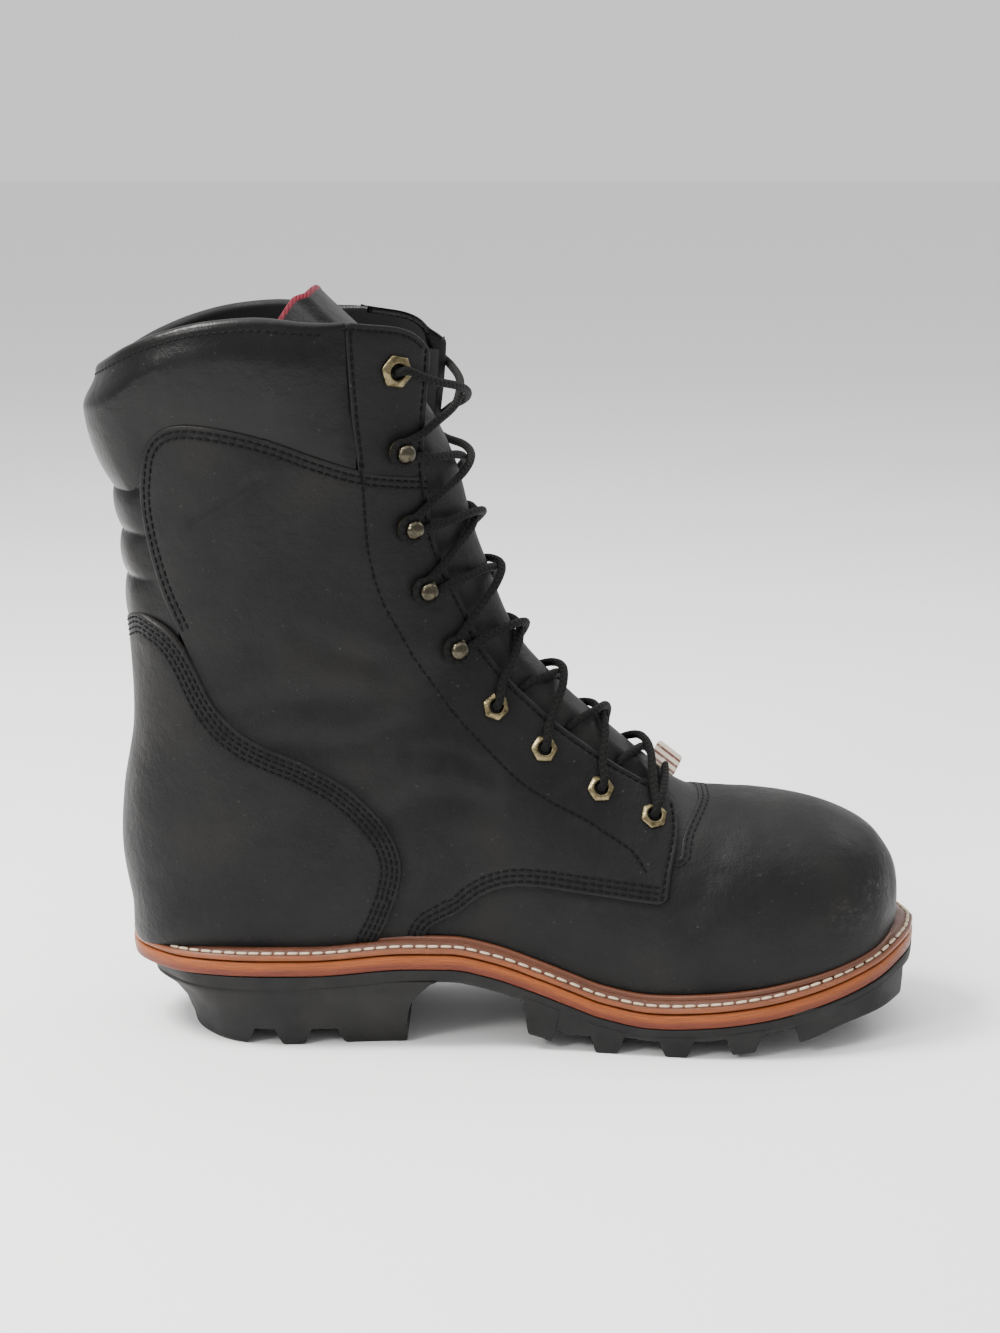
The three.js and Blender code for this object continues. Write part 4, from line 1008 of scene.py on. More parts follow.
def metal_material(name, bright, dark, rough):
    """Antique plated metal with darker, rougher patches and tiny dents."""
    made, shader = material(name, bright, rough, metal=1.0)
    patch = remap(made, noise(made, 420, 4, rough=0.6), 0.4, 0.68, 0, 1)
    link(made, blend_colors(made, patch, bright, dark), shader, "Base Color")
    link(made, remap(made, patch, 0, 1, rough, rough + 0.22), shader, "Roughness")
    link(made, bump(made, noise(made, 900, 3), 0.0001), shader, "Normal")
    return made


braided_cord = lace_material()
rubber = rubber_material()
antique_brass = metal_material("antique_brass", (0.19, 0.155, 0.085), (0.045, 0.037, 0.02), 0.26)
gunmetal = metal_material("gunmetal", (0.075, 0.066, 0.047), (0.032, 0.029, 0.021), 0.2)
dark_brass = metal_material("dark_brass", (0.09, 0.075, 0.04), (0.022, 0.019, 0.012), 0.34)


# Upper
def line_height(line):
    """Height of a side view line as a function of x, from the back forward."""
    xs, zs = np.array(line, float).T
    order = np.argsort(xs)
    return lambda x: np.interp(x, xs[order], zs[order])


top_height = line_height(smooth_line(TOP_LINE, 1.0))
PAD_FOOT = [(-20, PAD_BACK_Z), (4, PAD_BACK_Z), (8.5, 226)] + QUARTER_TOP[8:2:-1] + QUARTER_TOP[2::-1]
pad_foot_height = line_height(PAD_FOOT)


def station_where(height, angles, first, last):
    """Station at which the form passes a side view line, for each angle."""
    stations = np.linspace(first, last, 240)
    points = form_point(stations[:, None], angles[None, :])
    over = points[..., 2] - height(points[..., 0])
    found = []
    for column in over.T:
        k = int(np.argmax(column > 0))
        share = -column[k - 1] / (column[k] - column[k - 1])
        found.append(mix(stations[k - 1], stations[k], share))
    return np.array(found)


def side_line(corners, side):
    """Places along a side view line."""
    return locate(smooth_line(corners, 2.0), side)


def back_angles(x, z, count):
    """Angles round the back between places at a given x and z on both sides."""
    first = locate([(x, z)], OUTER)[0, 1]
    last = locate([(x, z)], INNER)[0, 1]
    station = np.array([23.5])
    return ring_angles(station, np.array([first]), np.array([last]), count)[0]


PAD_SEAM_X = 88.8
RIM_RADIUS = 3.4
RIM_SEAM = 0.97


def pad_level(x, share):
    """Swell of the padded collar at a share of its height."""
    back = mix(COLLAR_PAD, COLLAR_SIDE_PAD, ease(-9, 30, x))
    to_seam = np.sqrt(np.clip((PAD_SEAM_X - x) / 27, 0, 1))
    swell = back * to_seam * (1 - (1 - share) ** 2.2)
    fall = mix(0.62, 0.3, ease(-9, 30, x))
    return swell * (1 - fall * ease(0.68, 1.0, share)) - 0.3


def plain(count):
    """Vertex numbers of a piece without cut edges or stitches."""
    return {"edge": np.full(count, FAR_EDGE), "seam": np.full(count, FAR_SEAM)}


def make_collar():
    """Padded collar: out of the seam, over a rolled rim and down into the lining."""
    columns, rows, arc = 190, 46, 14
    angles = back_angles(91.5, 255, columns)
    bottom = station_where(pad_foot_height, angles, 21, 25) - 0.09
    top = station_where(top_height, angles, 22, 26)
    x = form_point(top, angles)[:, 0]
    end_level = pad_level(x, 1.0)
    radius = np.minimum((end_level + WALL) / 2 + 0.4, RIM_RADIUS)
    along = np.linalg.norm(form_slopes(top, angles)[0], axis=1)
    turn = top - radius / along
    grid = []
    for share in np.linspace(0, 1, rows):
        station = mix(bottom, turn, share)
        place_x = form_point(station, angles)[:, 0]
        level = pad_level(place_x, share)
        grid.append(surface(station, angles, level))
    up = unit(form_slopes(turn, angles)[0])
    middle = (end_level - WALL) / 2
    half = (end_level + WALL) / 2
    for angle in np.linspace(0, PI, arc + 2)[1:]:
        base = surface(turn, angles, middle + half * math.cos(angle))
        grid.append(base + up * (radius * math.sin(angle))[:, None])
    for share in (0.04, 0.1, 0.2):
        station = mix(turn, 20, share)
        grid.append(surface(station, angles, -WALL))
    points = np.array(grid)
    faces = grid_faces(len(grid), columns)
    inner_row = rows + arc - 2
    index = (faces[:, 0] // columns >= inner_row).astype(int)
    shares = np.concatenate([np.linspace(0, 1, rows), np.ones(len(grid) - rows)])
    # Painted shade along the collar's foot seam and beside its seam with the facing
    to_seam = np.exp(-(((PAD_SEAM_X - points[..., 0]) / 2.5) ** 2))
    foot = np.maximum(np.exp(-((shares / 0.09) ** 2))[:, None], to_seam)
    values = {**plain(foot.size), "shade": foot.ravel()}
    # One row of stitches under the rim
    under = np.stack([mix(bottom, turn, RIM_SEAM), angles], 1)[8:-8]
    sew_at(under, pad_level(form_line(under)[:, 0], RIM_SEAM))
    return add_mesh("collar", points.reshape(-1, 3), faces, [soft_leather, lining_cloth], index, values)


def sew_at(places, levels):
    """A row of stitches whose height over the form changes along it."""
    points = surface(places[:, 0], places[:, 1], levels)
    travelled = travel(points)
    goals = np.arange(STITCH_PITCH, travelled[-1] - STITCH_PITCH, STITCH_PITCH)
    centres = at_travel(goals, travelled, points)
    aheads = unit(np.gradient(centres, axis=0))
    even = at_travel(goals, travelled, places)
    stitch_rows.append((centres, aheads, form_normal(even[:, 0], even[:, 1])))


def make_ribs():
    """Soft ribs across the back of the ankle, between counter and collar."""
    half = 0.95
    stations = np.arange(20.0, 23.25, 0.03)
    angles = np.linspace(PI - half, PI + half, 70)
    station, angle = np.meshgrid(stations, angles, indexing="ij")
    places = form_point(station, angle)
    heights, fade = places[..., 2], ease(15, 3, places[..., 0])
    level = np.full(heights.shape, -0.4)
    for low, high in zip(RIB_EDGES, RIB_EDGES[1:]):
        share = np.clip((heights - low) / (high - low), 0, 1)
        level = np.maximum(level, RIB_RISE * fade * np.sin(PI * share) ** 0.55 - 0.4)
    points = surface(station, angle, level)
    faces = grid_faces(len(stations), len(angles))
    # Painted shade in the hollows between the ribs
    values = {**plain(level.size), "shade": np.clip(0.8 - level, 0, 1).ravel()}
    return add_mesh("ribs", points.reshape(-1, 3), faces, [soft_leather], values=values)


# Distances of the rows of stitches from the edge that they follow
VAMP_ROWS = (1.6, 3.6)
LOW_ROWS = (2.0, 4.3, 6.6)
TOP_ROWS = (2.2, 4.6)
COUNTER_ROWS = (2.0, 3.9, 5.9, 7.9)
THROAT_ROW = 2.4
FRONT_ROW = 2.2
BACK_ROW = 1.8

# Rubbed places on the toe: centre and reach in millimetres
SCUFFS = [
    ((291, -24, 63), (9, 12, 5)),
    ((281, -34, 56), (10, 12, 5)),
    ((299, -12, 72), (5, 12, 6)),
    ((285, 30, 66), (9, 12, 6)),
]


def make_vamp():
    """Front of the upper from the toe to the arc where the tongue starts."""
    columns = 230
    near = np.concatenate([np.linspace(0, 0.3, 12), np.arange(0.35, 6.0, 0.06)])

    def whole_ring(station):
        start = np.zeros(len(station))
        return ring_angles(station, start, start + 2 * PI, columns + 1)[:, :-1]

    first = whole_ring(near)
    away = np.abs(np.angle(np.exp(1j * first[-1])))
    edge_station = 7.95 + 0.5 * ease(0.1, 0.75, away) + 3.4 * ease(0.84, 1.05, away)
    rows = [(station, angles) for station, angles in zip(near, first)]
    for share in np.concatenate([np.linspace(0, 0.985, 46), [0.993, 1.0]]):
        station = mix(6.0, edge_station, share)
        rows.append((station, np.diagonal(whole_ring(station))))
    grid, edge = [], []
    for station, angles in rows:
        gap = np.linalg.norm(form_point(edge_station, angles) - form_point(station, angles), axis=1)
        roll = np.clip(gap / EDGE_ROLL, 0, 1)
        level = mix(-0.35, 0.0, np.sqrt(1 - (1 - roll) ** 2))
        grid.append(surface(station, angles, level))
        edge.append(gap)
    grid.append(surface(edge_station, rows[-1][1], -1.6))
    edge.append(np.zeros(columns))
    points = np.array(grid)
    faces = grid_faces(len(grid), columns, closed=True)
    flat = points.reshape(-1, 3)
    scuff = np.zeros(len(flat))
    for centre, reach in SCUFFS:
        scuff = np.maximum(scuff, np.exp(-(((flat - np.array(centre)) / np.array(reach)) ** 2).sum(1)))
    # The part of the edge at the tongue, from the inner side over the crest to the outer side
    arc = np.stack([edge_station, rows[-1][1]], 1)
    shown = away < 1.0
    half = columns // 2
    inner_arc, outer_arc = arc[half:][shown[half:]], arc[:half][shown[:half]]
    inner_arc[:, 1] -= 2 * PI
    arc = np.concatenate([inner_arc, outer_arc])
    seam = np.full(len(flat), FAR_SEAM)
    for aside in VAMP_ROWS:
        row = beside(arc, -aside)
        sew(row, 0.0)
        seam = np.minimum(seam, line_distance(flat, form_line(row)))
    # Painted shadow on the vamp beside the edges of the quarters that lie over it
    covers = [side_line(line, side) for side in (INNER, OUTER) for line in (QUARTER_LOW, QUARTER_FRONT)]
    values = {"edge": np.concatenate(edge), "seam": seam, "scuff": scuff}
    values["shade"] = shade_near(flat, covers, 2.0)
    return add_mesh("vamp", flat, faces, [leather], values=values)


def make_quarter(side):
    """Side of the upper: lower seam, front edge, throat edge, top seam and the hidden back."""
    low = side_line(QUARTER_LOW, side)
    front = side_line(QUARTER_FRONT, side)
    top = side_line(QUARTER_TOP, side)
    seam_station = station_at_height(side, 224.5)
    throat = throat_places(9.12, seam_station, side)
    back = locate([(33, 120), (34, 95), (34, 70), (34, 50)], side)
    loop = np.concatenate([low, front, throat, top, back])
    shown = np.concatenate([low, front, throat, top])
    rows = [beside(low[2:-1], -side * aside) for aside in LOW_ROWS]
    rows += [beside(top[:-14], -side * aside) for aside in TOP_ROWS]
    rows += [beside(throat[2:], -side * THROAT_ROW), beside(front[:-1], -side * FRONT_ROW)]
    rows.append(side_line(EYESTAY_SEAM, side))
    # The counter's edge gives the quarter a painted shadow through under
    return panel(
        f"quarter_{SIDES[side]}", loop, OVERLAY, leather, rings=(0.3, 0.9, 2.2, 4.5), rows=rows,
        edge_line=shown, throat=throat, under=[side_line(COUNTER_TOP, side)],
    )


def make_counter():
    """Heel counter: one piece round the back, sewn with four rows."""
    outer = side_line(COUNTER_TOP, OUTER)
    inner = side_line(COUNTER_TOP, INNER)
    edge = np.concatenate([outer[:2:-1], inner[3:]])
    loop = np.concatenate([edge, [(inner[-1, 0], PI)]])
    rows = [beside(edge[1:-1], -aside) for aside in COUNTER_ROWS]
    return panel(
        "counter", loop, 2 * OVERLAY, leather, rings=(0.3, 0.9, *COUNTER_ROWS), rows=rows,
        edge_line=edge, drop=-0.4,
    )


FACING_LEVEL = 0.8


def make_facing(side):
    """Top of the lacing flap, beside the padded collar."""
    back = side_line(FACING_BACK, side)
    tops = side_line(FACING_TOP, side)
    low_station = station_at_height(side, 219)
    high_station = station_at_height(side, 272)
    throat = throat_places(low_station, high_station, side)
    loop = np.concatenate([back, tops, throat[::-1]])
    rows = [
        beside(back[4:-3], side * BACK_ROW), beside(throat[3:], -side * THROAT_ROW),
        beside(tops, side * THROAT_ROW),
    ]
    return panel(
        f"facing_{SIDES[side]}", loop, FACING_LEVEL, shaded_facing_leather, rings=(0.3, 0.9, 2.2), rows=rows,
        throat=throat,
    )


LINING_START = 9.2


def make_lining():
    """Inside of the shaft and of the flaps."""
    columns, rows = 150, 70
    shares = np.linspace(0, 1, columns)
    grid = []
    for share in np.linspace(0, 1, rows):
        rough_station = mix(LINING_START, 25, share)
        outer = angle_at(rough_station, throat_half(rough_station) + 0.15)
        inner = 2 * PI + angle_at(rough_station, -throat_half(rough_station) - 0.15)
        angles = mix(outer, inner, shares)
        top = station_where(top_height, angles, 20, 26)
        station = mix(LINING_START, top - 0.12, share)
        edge_angle = np.abs(angle_at(station, throat_half(station) + 0.15))
        angles = np.clip(angles, edge_angle, 2 * PI - edge_angle)
        grid.append(surface(station, angles, -WALL))
    points = np.array(grid)
    faces = grid_faces(rows, columns)[:, ::-1]
    return add_mesh("lining", points.reshape(-1, 3), faces, [lining_cloth])


# Stations where the tongue starts, where it begins to lean back, and where it ends at its middle
TONGUE_START = 7.5
LEAN_START = 19.5
TONGUE_END = 25.15
LEAN_POWER = 2.3


def make_tongue():
    """Tongue: leather outside, burgundy lining that wraps its top edge, leaning back."""
    rows, columns = 110, 44
    under = -(WALL + 2 * SEAT_GAP)
    across = np.linspace(-1, 1, columns)
    grid = []
    for share in np.linspace(0, 1, rows):
        top = TONGUE_END - 0.3 * across**2 - 0.2 * np.abs(across) ** 5
        station = mix(TONGUE_START, top, share)
        spread = ease(9.4, 8.8, station)
        half = throat_half(station)
        y = across * mix(half + TONGUE_LAP, TONGUE_FOOT_HALF, spread)
        risen = ease(half - 1.5, half - 7, np.abs(y))
        level = mix(mix(under, -0.2, risen), -0.9, spread)
        leaning = np.clip((station - LEAN_START) / (TONGUE_END - LEAN_START), 0, None)
        lean = leaning**LEAN_POWER * TONGUE_LEAN
        angle = angle_at(station, y)
        outside = over_form(station, angle, level)
        inside = outside - form_normal(station, angle) * TONGUE_THICK
        outside[:, 0] -= lean
        inside[:, 0] -= lean
        grid.append(np.concatenate([outside, inside[::-1]]))
    count = 2 * columns
    last = grid[-1]
    middle = (last + np.concatenate([last[columns:][::-1], last[:columns][::-1]])) / 2
    for share, raised in ((0.35, 1.0), (0.97, 1.5)):
        grid.append(mix(last, middle, share) + np.array([0, 0, raised]))
    points = np.array(grid)
    faces = grid_faces(len(grid), count, closed=True)
    row, column = faces[:, 0] // count, faces[:, 0] % count
    index = ((column >= columns - 1) | (row >= rows - 1)).astype(int)
    points = points.reshape(-1, 3)
    looks = [tongue_leather, burgundy]
    return add_mesh("tongue_leather", points, faces, looks, index, plain(len(points)), slot="tongue")


# Sole
def outline_rows():
    """Rows of x, inner y and outer y, with one mirrored row beyond each end."""
    rows = []
    for table, width in ((HEEL_OUTLINE, HEEL_SOLE_WIDTH), (BALL_OUTLINE, BALL_SOLE_WIDTH)):
        for along, inner, outer in table:
            rows.append((sole_x(along), -inner * width, outer * width))
    before = (rows[1][0], -rows[1][2], -rows[1][1])
    after = (rows[-2][0], -rows[-2][2], -rows[-2][1])
    return np.array([before, *rows, after])


def sole_outline():
    """Dense heel-to-toe places of the sole: x, inner y, outer y."""
    rows = outline_rows()
    places = spline(rows, np.linspace(1, len(rows) - 2, 700))
    places[:, 1] = np.minimum(places[:, 1], 0)
    places[:, 2] = np.maximum(places[:, 2], 0)
    return places


OUTLINE = sole_outline()


def sole_sides(x):
    """Inner and outer y of the outline at each x."""
    return np.interp(x, OUTLINE[:, 0], OUTLINE[:, 1]), np.interp(x, OUTLINE[:, 0], OUTLINE[:, 2])


def there_and_back(x, inner, outer, z):
    """Ring of points along the inner side and back along the outer one."""
    return np.concatenate([np.stack([x, inner, z], 1), np.stack([x, outer, z], 1)[::-1]])


def outline_loop(count):
    """Closed loop round the sole with outward directions and distance travelled."""
    outer = np.stack([OUTLINE[:, 0], OUTLINE[:, 2]], 1)
    inner = np.stack([OUTLINE[:, 0], OUTLINE[:, 1]], 1)[::-1]
    loop = np.concatenate([outer, inner[1:]])
    points, travelled = even_loop(loop, count)
    ahead = unit(np.roll(points, -1, axis=0) - np.roll(points, 1, axis=0))
    for _ in range(3):
        ahead = unit(ahead + np.roll(ahead, 1, axis=0) + np.roll(ahead, -1, axis=0))
    return points, np.stack([-ahead[:, 1], ahead[:, 0]], 1), travelled


SWEEP_STEPS = 460


def sweep_round(name, profile, made, slot):
    """A closed profile of (out, up) points carried round the sole's outline."""
    points, outward, travelled = outline_loop(SWEEP_STEPS)
    profile = np.array(profile, float)
    size = len(profile)
    plan = points[:, None] + outward[:, None] * profile[None, :, :1]
    up = rubber_top(points[:, 0])[:, None] + profile[None, :, 1]
    grid = np.concatenate([plan, up[..., None]], 2).reshape(-1, 3)
    faces = grid_faces(SWEEP_STEPS, size, closed=True)
    start, last = np.arange(size), (SWEEP_STEPS - 1) * size
    ahead = np.roll(start, -1)
    joint = np.stack([last + start, last + ahead, ahead, start], 1)
    faces = np.concatenate([faces, joint])
    strip = np.zeros((SWEEP_STEPS, size, 3))
    strip[..., 0] = travelled[:, None]
    strip[..., 1] = profile[None, :, 1]
    strip[..., 2] = profile[None, :, 0]
    return add_mesh(name, grid, faces, [made], values={"strip": strip.reshape(-1, 3)}, slot=slot)


def rounded(corners, radius, steps=4):
    """A closed outline of (out, up) corners with its corners rounded."""
    corners = np.array(corners, float)
    made = []
    for i, corner in enumerate(corners):
        before, after = corners[i - 1] - corner, corners[(i + 1) % len(corners)] - corner
        r = min(radius, 0.45 * np.linalg.norm(before), 0.45 * np.linalg.norm(after))
        start = corner + before / np.linalg.norm(before) * r
        end = corner + after / np.linalg.norm(after) * r
        for share in np.linspace(0, 1, steps + 1):
            made.append((1 - share) ** 2 * start + 2 * share * (1 - share) * corner + share**2 * end)
    return made


WELT_SEAM_IN = 1.9

# Profiles as (out, up) from the sole's outline and the top of the rubber
MIDSOLE_PROFILE = [(-16, 0.3), (-0.2, 0.3), (0.25, 3.2), (-0.1, 6.1), (-16, 6.1)]
WELT_PROFILE = [
    (-16, 6.7), (-0.8, 6.7), (-0.2, 6.9), (0.05, 7.5), (0.1, 8.1), (-0.1, 8.7), (-0.5, 9.1),
    (-1.0, 9.2), (-1.5, 9.05), (-WELT_SEAM_IN, 8.95), (-2.5, 9.2), (-3.2, 9.9), (-4.4, 10.7),
    (-6, 11.1), (-9, 11.3), (-16, 11.0),
]


def make_midsole():
    return sweep_round("midsole_edge", rounded(MIDSOLE_PROFILE, 0.8), midsole_leather, "midsole")


def make_welt():
    """Welt: rounded outer edge, a channel for the stitches, and a rise towards the upper."""
    return sweep_round("welt_strip", WELT_PROFILE, welt_leather, "welt")


HALVINGS = 40


def foot_curve(height, level, count):
    """Closed line round the upper at a height over its seat, on the leather raised by a level."""
    def over(station, angle):
        points = over_form(station, angle, level)
        return points[..., 2] - seat(points[..., 0]) - height

    def end_station(low, high):
        for _ in range(HALVINGS):
            middle = (low + high) / 2
            if over(low, PI) * over(middle, PI) <= 0:
                high = middle
            else:
                low = middle
        return low

    first, last = end_station(0.05, 3), end_station(13, 18)
    station = mix(first, last, crowded(400))
    low, high = np.full(400, PI * 0.5), np.full(400, PI)
    for _ in range(HALVINGS):
        middle = (low + high) / 2
        under = over(station, middle) < 0
        low, high = np.where(under, low, middle), np.where(under, middle, high)
    outer = over_form(station, low, level)
    inner = over_form(station[::-1], 2 * PI - low[::-1], level)
    return even_loop(np.concatenate([outer, inner[1:-1]]), count)[0]


def tube(path, radius, sides, closed=False):
    """A round cord along a line of points, with distance along and round it for its material."""
    path = np.asarray(path, float)
    if closed:
        ahead = unit(np.roll(path, -1, axis=0) - np.roll(path, 1, axis=0))
    else:
        ahead = unit(np.gradient(path, axis=0))
    side = np.zeros_like(path)
    guide = np.array([0.0, 0.0, 1.0])
    for i in range(len(path)):
        guide = guide - ahead[i] * (guide @ ahead[i])
        guide = guide / np.linalg.norm(guide)
        side[i] = guide
    other = np.cross(ahead, side)
    turn = np.linspace(0, 2 * PI, sides, endpoint=False)
    ring = side[:, None] * np.cos(turn)[None, :, None] + other[:, None] * np.sin(turn)[None, :, None]
    points = (path[:, None] + ring * radius).reshape(-1, 3)
    faces = grid_faces(len(path), sides, closed=True)[:, ::-1].tolist()
    last = (len(path) - 1) * sides
    if closed:
        k = np.arange(sides)
        joint = np.stack([last + k, k, np.roll(k, -1), last + np.roll(k, -1)], 1)
        faces += joint.tolist()
    else:
        faces += [list(range(sides)), [last + k for k in range(sides)][::-1]]
    strip = np.zeros((len(path), sides, 3))
    strip[..., 0] = travel(path)[:, None]
    strip[..., 1] = turn[None, :]
    return points, faces, strip.reshape(-1, 3)


def join_tubes(name, tubes, made, slot):
    """Several tubes as one mesh."""
    points, faces = joined([part[:2] for part in tubes])
    values = {"strip": np.concatenate([part[2] for part in tubes])}
    return add_mesh(name, points, faces, [made], values=values, slot=slot)


LIP_RADIUS = 1.45


def make_lip():
    """Rounded bead of the welt that stands against the upper."""
    path = foot_curve(0.7, 1.2, 420)
    narrow = np.maximum(ease(125, 105, path[:, 0]), ease(245, 265, path[:, 0]))
    plan = unit(np.stack([np.gradient(path[:, 1]), -np.gradient(path[:, 0])], 1))
    path[:, :2] -= plan * (narrow * 0.8)[:, None]
    points, faces, strip = tube(path, LIP_RADIUS, sides=14, closed=True)
    # All of it takes the colour of the welt's upper edge
    strip[:, 1] = 9.6
    return join_tubes("welt_lip", [(points, faces, strip)], welt_leather, "welt")


WELT_STITCH_PITCH = 5.0
WELT_STITCH_LENGTH = 4.3
WELT_STITCH_RADIUS = 0.8
WELT_STITCH_LEVEL = 9.35


def make_welt_stitches():
    """Light stitches in the channel of the welt, all the way round."""
    fine = 2000
    points, outward, travelled = outline_loop(fine)
    count = int((travelled[-1] + travelled[1]) / WELT_STITCH_PITCH)
    index = np.round(np.arange(count) * fine / count).astype(int)
    plan = points[index] - outward[index] * WELT_SEAM_IN
    centres = np.column_stack([plan, rubber_top(points[index, 0]) + WELT_STITCH_LEVEL])
    aheads = unit(np.roll(centres, -1, axis=0) - np.roll(centres, 1, axis=0))
    ups = np.tile([0.0, 0.0, 1.0], (count, 1))
    ups = unit(ups - aheads * (ups * aheads).sum(1, keepdims=True))
    length, radius = WELT_STITCH_LENGTH, WELT_STITCH_RADIUS
    return beads("welt_stitches", centres, aheads, ups, length, radius, cream_thread, "welt")


def block(levels):
    """A closed block from rings of points, all with as many points, from its foot to its top."""
    size = len(levels[0])
    points = np.concatenate(levels)
    faces = grid_faces(len(levels), size, closed=True).tolist()
    last = (len(levels) - 1) * size
    half = size // 2
    for start, flip in ((0, True), (last, False)):
        for k in range(half - 1):
            face = [start + k, start + k + 1, start + size - 2 - k, start + size - 1 - k]
            faces.append(face[::-1] if flip else face)
    return points, faces


def sole_ring(first, last, low_y, high_y, z, inset, count=26):
    """Outline of a piece of the sole between two x and two y, drawn in by an inset."""
    first, last = first + inset, last - inset
    x = mix(first, last, crowded(count))
    inner, outer = sole_sides(x)
    inner = np.minimum(np.maximum(inner + inset, low_y + inset), 0.9 * high_y)
    outer = np.maximum(np.minimum(outer - inset, high_y - inset), 0.9 * low_y)
    return there_and_back(x, np.minimum(inner, outer - 0.2), outer, z(x))


def join_blocks(name, blocks):
    """Blocks of rubber as one mesh with soft edges."""
    piece = add_mesh(name, *joined(blocks), [rubber], slot="rubber")
    bevel = piece.modifiers.new("soft_edges", "BEVEL")
    bevel.width = 0.55 * MM
    bevel.segments = 2
    bevel.limit_method = "ANGLE"
    bevel.angle_limit = math.radians(38)
    bevel.harden_normals = True
    return piece


# Further aside than any part of the sole
WIDE = 200


def tread_parts(half):
    """The three ribs that the two long channels leave, as (low y, high y)."""
    middle = CHANNEL_SHARE * BALL_SOLE_WIDTH
    near, far = middle - LUG_CHANNEL / 2, middle + LUG_CHANNEL / 2
    return [(-half, -far), (-near, near), (far, half)]


# Rings of the rubber base (height over its foot, inset) and of a lug (share of its height, inset)
BASE_RINGS = [(0, 1.2), (0.5, 0.7), (1.4, 0.3), (4.6, 0), (5, 0.3)]
LUG_RINGS = [(0, 2.4), (0.05, 1.9), (0.14, 1.6), (0.55, 0.8), (1.0, 0.1)]


def make_base():
    """Rubber base: flush with the heel block, drawn in from there to the toe."""
    rings = []
    for over_foot, inset in BASE_RINGS:
        up = over_foot - RUBBER_BASE
        height = lambda x: rubber_top(x) + up
        ring = sole_ring(sole_x(0), sole_x(1), -WIDE, WIDE, height, inset, 160)
        flush = sole_ring(sole_x(0), sole_x(1), -WIDE, WIDE, height, 0.05, 160)
        ring = mix(flush, ring, ease(96, 124, ring[:, 0])[:, None])
        slope = HEEL_BASE_SLOPE * (1 - ease(-HEEL_SHELF, HEEL_BASE_REACH, ring[:, 0]))
        ring[:, 0] += slope * (0.7 - up / RUBBER_BASE)
        rings.append(ring)
    return block(rings)


def make_outsole():
    """Rubber base with the front lugs under it."""
    blocks = [make_base()]
    edges = [LUGS_START, *[edge for groove in FRONT_GROOVES for edge in groove], LUGS_END]
    for start, end in zip(edges[::2], edges[1::2]):
        x0, x1 = sole_x(start), sole_x(end)
        middle_z = float(lug_bottom((x0 + x1) / 2))
        root = middle_z + GROOVE_DEPTH + 1.5
        split = middle_z < LUG_CHANNEL_DEPTH - 2
        for low_y, high_y in tread_parts(WIDE) if split else [(-WIDE, WIDE)]:
            rings = []
            for share, inset in LUG_RINGS:
                height = lambda x: mix(lug_bottom(x), np.maximum(root, rubber_top(x) - 3), share)
                flare = GROOVE_FLARE * (1 - share) * (1 if start != LUGS_START else 0.2)
                late = GROOVE_FLARE * (1 - share) * (1 if end != LUGS_END else -0.8)
                rings.append(sole_ring(x0 - 0.6 + flare, x1 + 0.6 - late, low_y, high_y, height, inset))
            blocks.append(block(rings))
    # Rubber between the lugs, down to the roots of the grooves
    first, last = sole_x(LUGS_START) + 1.5, sole_x(FRONT_GROOVES[-1][1]) + 4
    low = lambda x: np.minimum(lug_bottom(x) + GROOVE_DEPTH, rubber_top(x) - RUBBER_BASE)
    high = lambda x: rubber_top(x) - 3
    roots = [sole_ring(first, last, -WIDE, WIDE, z, inset, 60) for z, inset in ((low, 1.6), (high, 0.2))]
    blocks.append(block(roots))
    return join_blocks("rubber_sole", blocks)


def make_heel():
    """Heel block: undercut back, tapered sides, hollowed breast and two grooves."""
    back_x, breast_x = sole_x(0), HEEL_TREAD_START + HEEL_TREAD_LENGTH
    tall = HEEL_HEIGHT - RUBBER_BASE
    heights, *columns = np.array(HEEL_LEVELS, float).T

    def ring(share, first, last, trim=0.0):
        back_share, side_share, breast_share = (np.interp(share, heights, column) for column in columns)
        back = back_x + max(back_share, HEEL_TUCK) * HEEL_UNDERCUT
        breast = breast_x + breast_share * HEEL_FILLET
        start, end = max(back, first) + trim, min(breast, last) - trim
        x = mix(start, end, crowded(40))
        inner, outer = sole_sides(mix(back_x, breast_x, (x - back) / (breast - back)))
        taper = HEEL_TAPER + HEEL_BREAST_TAPER * ease(HEEL_TREAD_START, breast_x, x)
        inset = side_share * taper + trim
        inner = np.minimum(inner + inset * np.minimum(1, -inner / HEEL_TAPER / 2), -0.1)
        outer = np.maximum(outer - inset * np.minimum(1, outer / HEEL_TAPER / 2), 0.1)
        z = np.minimum(share * tall, rubber_top(x) - RUBBER_BASE + 0.3)
        return there_and_back(x, inner, outer, z)

    cuts = [HEEL_TREAD_START + edge * HEEL_TREAD_LENGTH for groove in HEEL_GROOVES for edge in groove]
    edges = [-WIDE, *cuts, WIDE]
    blocks = []
    root = GROOVE_DEPTH / tall
    for first, last in zip(edges[::2], edges[1::2]):
        rings = []
        for share in (0, 0.025, 0.07, root * 0.6, root + 0.03):
            slope = GROOVE_FLARE * (2 * share / root - 1)
            trim = max(0.0, 0.9 - share * 26)
            rings.append(ring(share, first - slope, last + slope, trim))
        blocks.append(block(rings))
    shares = [root, 0.36, 0.44, 0.52, 0.6, 0.68, 0.76, 0.83, 0.89, 0.94, 1.0, 1.1, 1.2]
    blocks.append(block([ring(share, -WIDE, WIDE) for share in shares]))
    return join_blocks("rubber_heel", blocks)


def make_insole():
    """Sock lining inside the foot."""
    rings = []
    for up, inset in ((0.4, 12.5), (3.0, 12.5), (3.3, 14)):
        height = lambda x: seat(x) + up
        rings.append(sole_ring(sole_x(0), sole_x(1), -WIDE, WIDE, height, inset, 90))
    points, faces = block(rings)
    return add_mesh("sock_lining", points, faces, [lining_cloth], slot="insole")


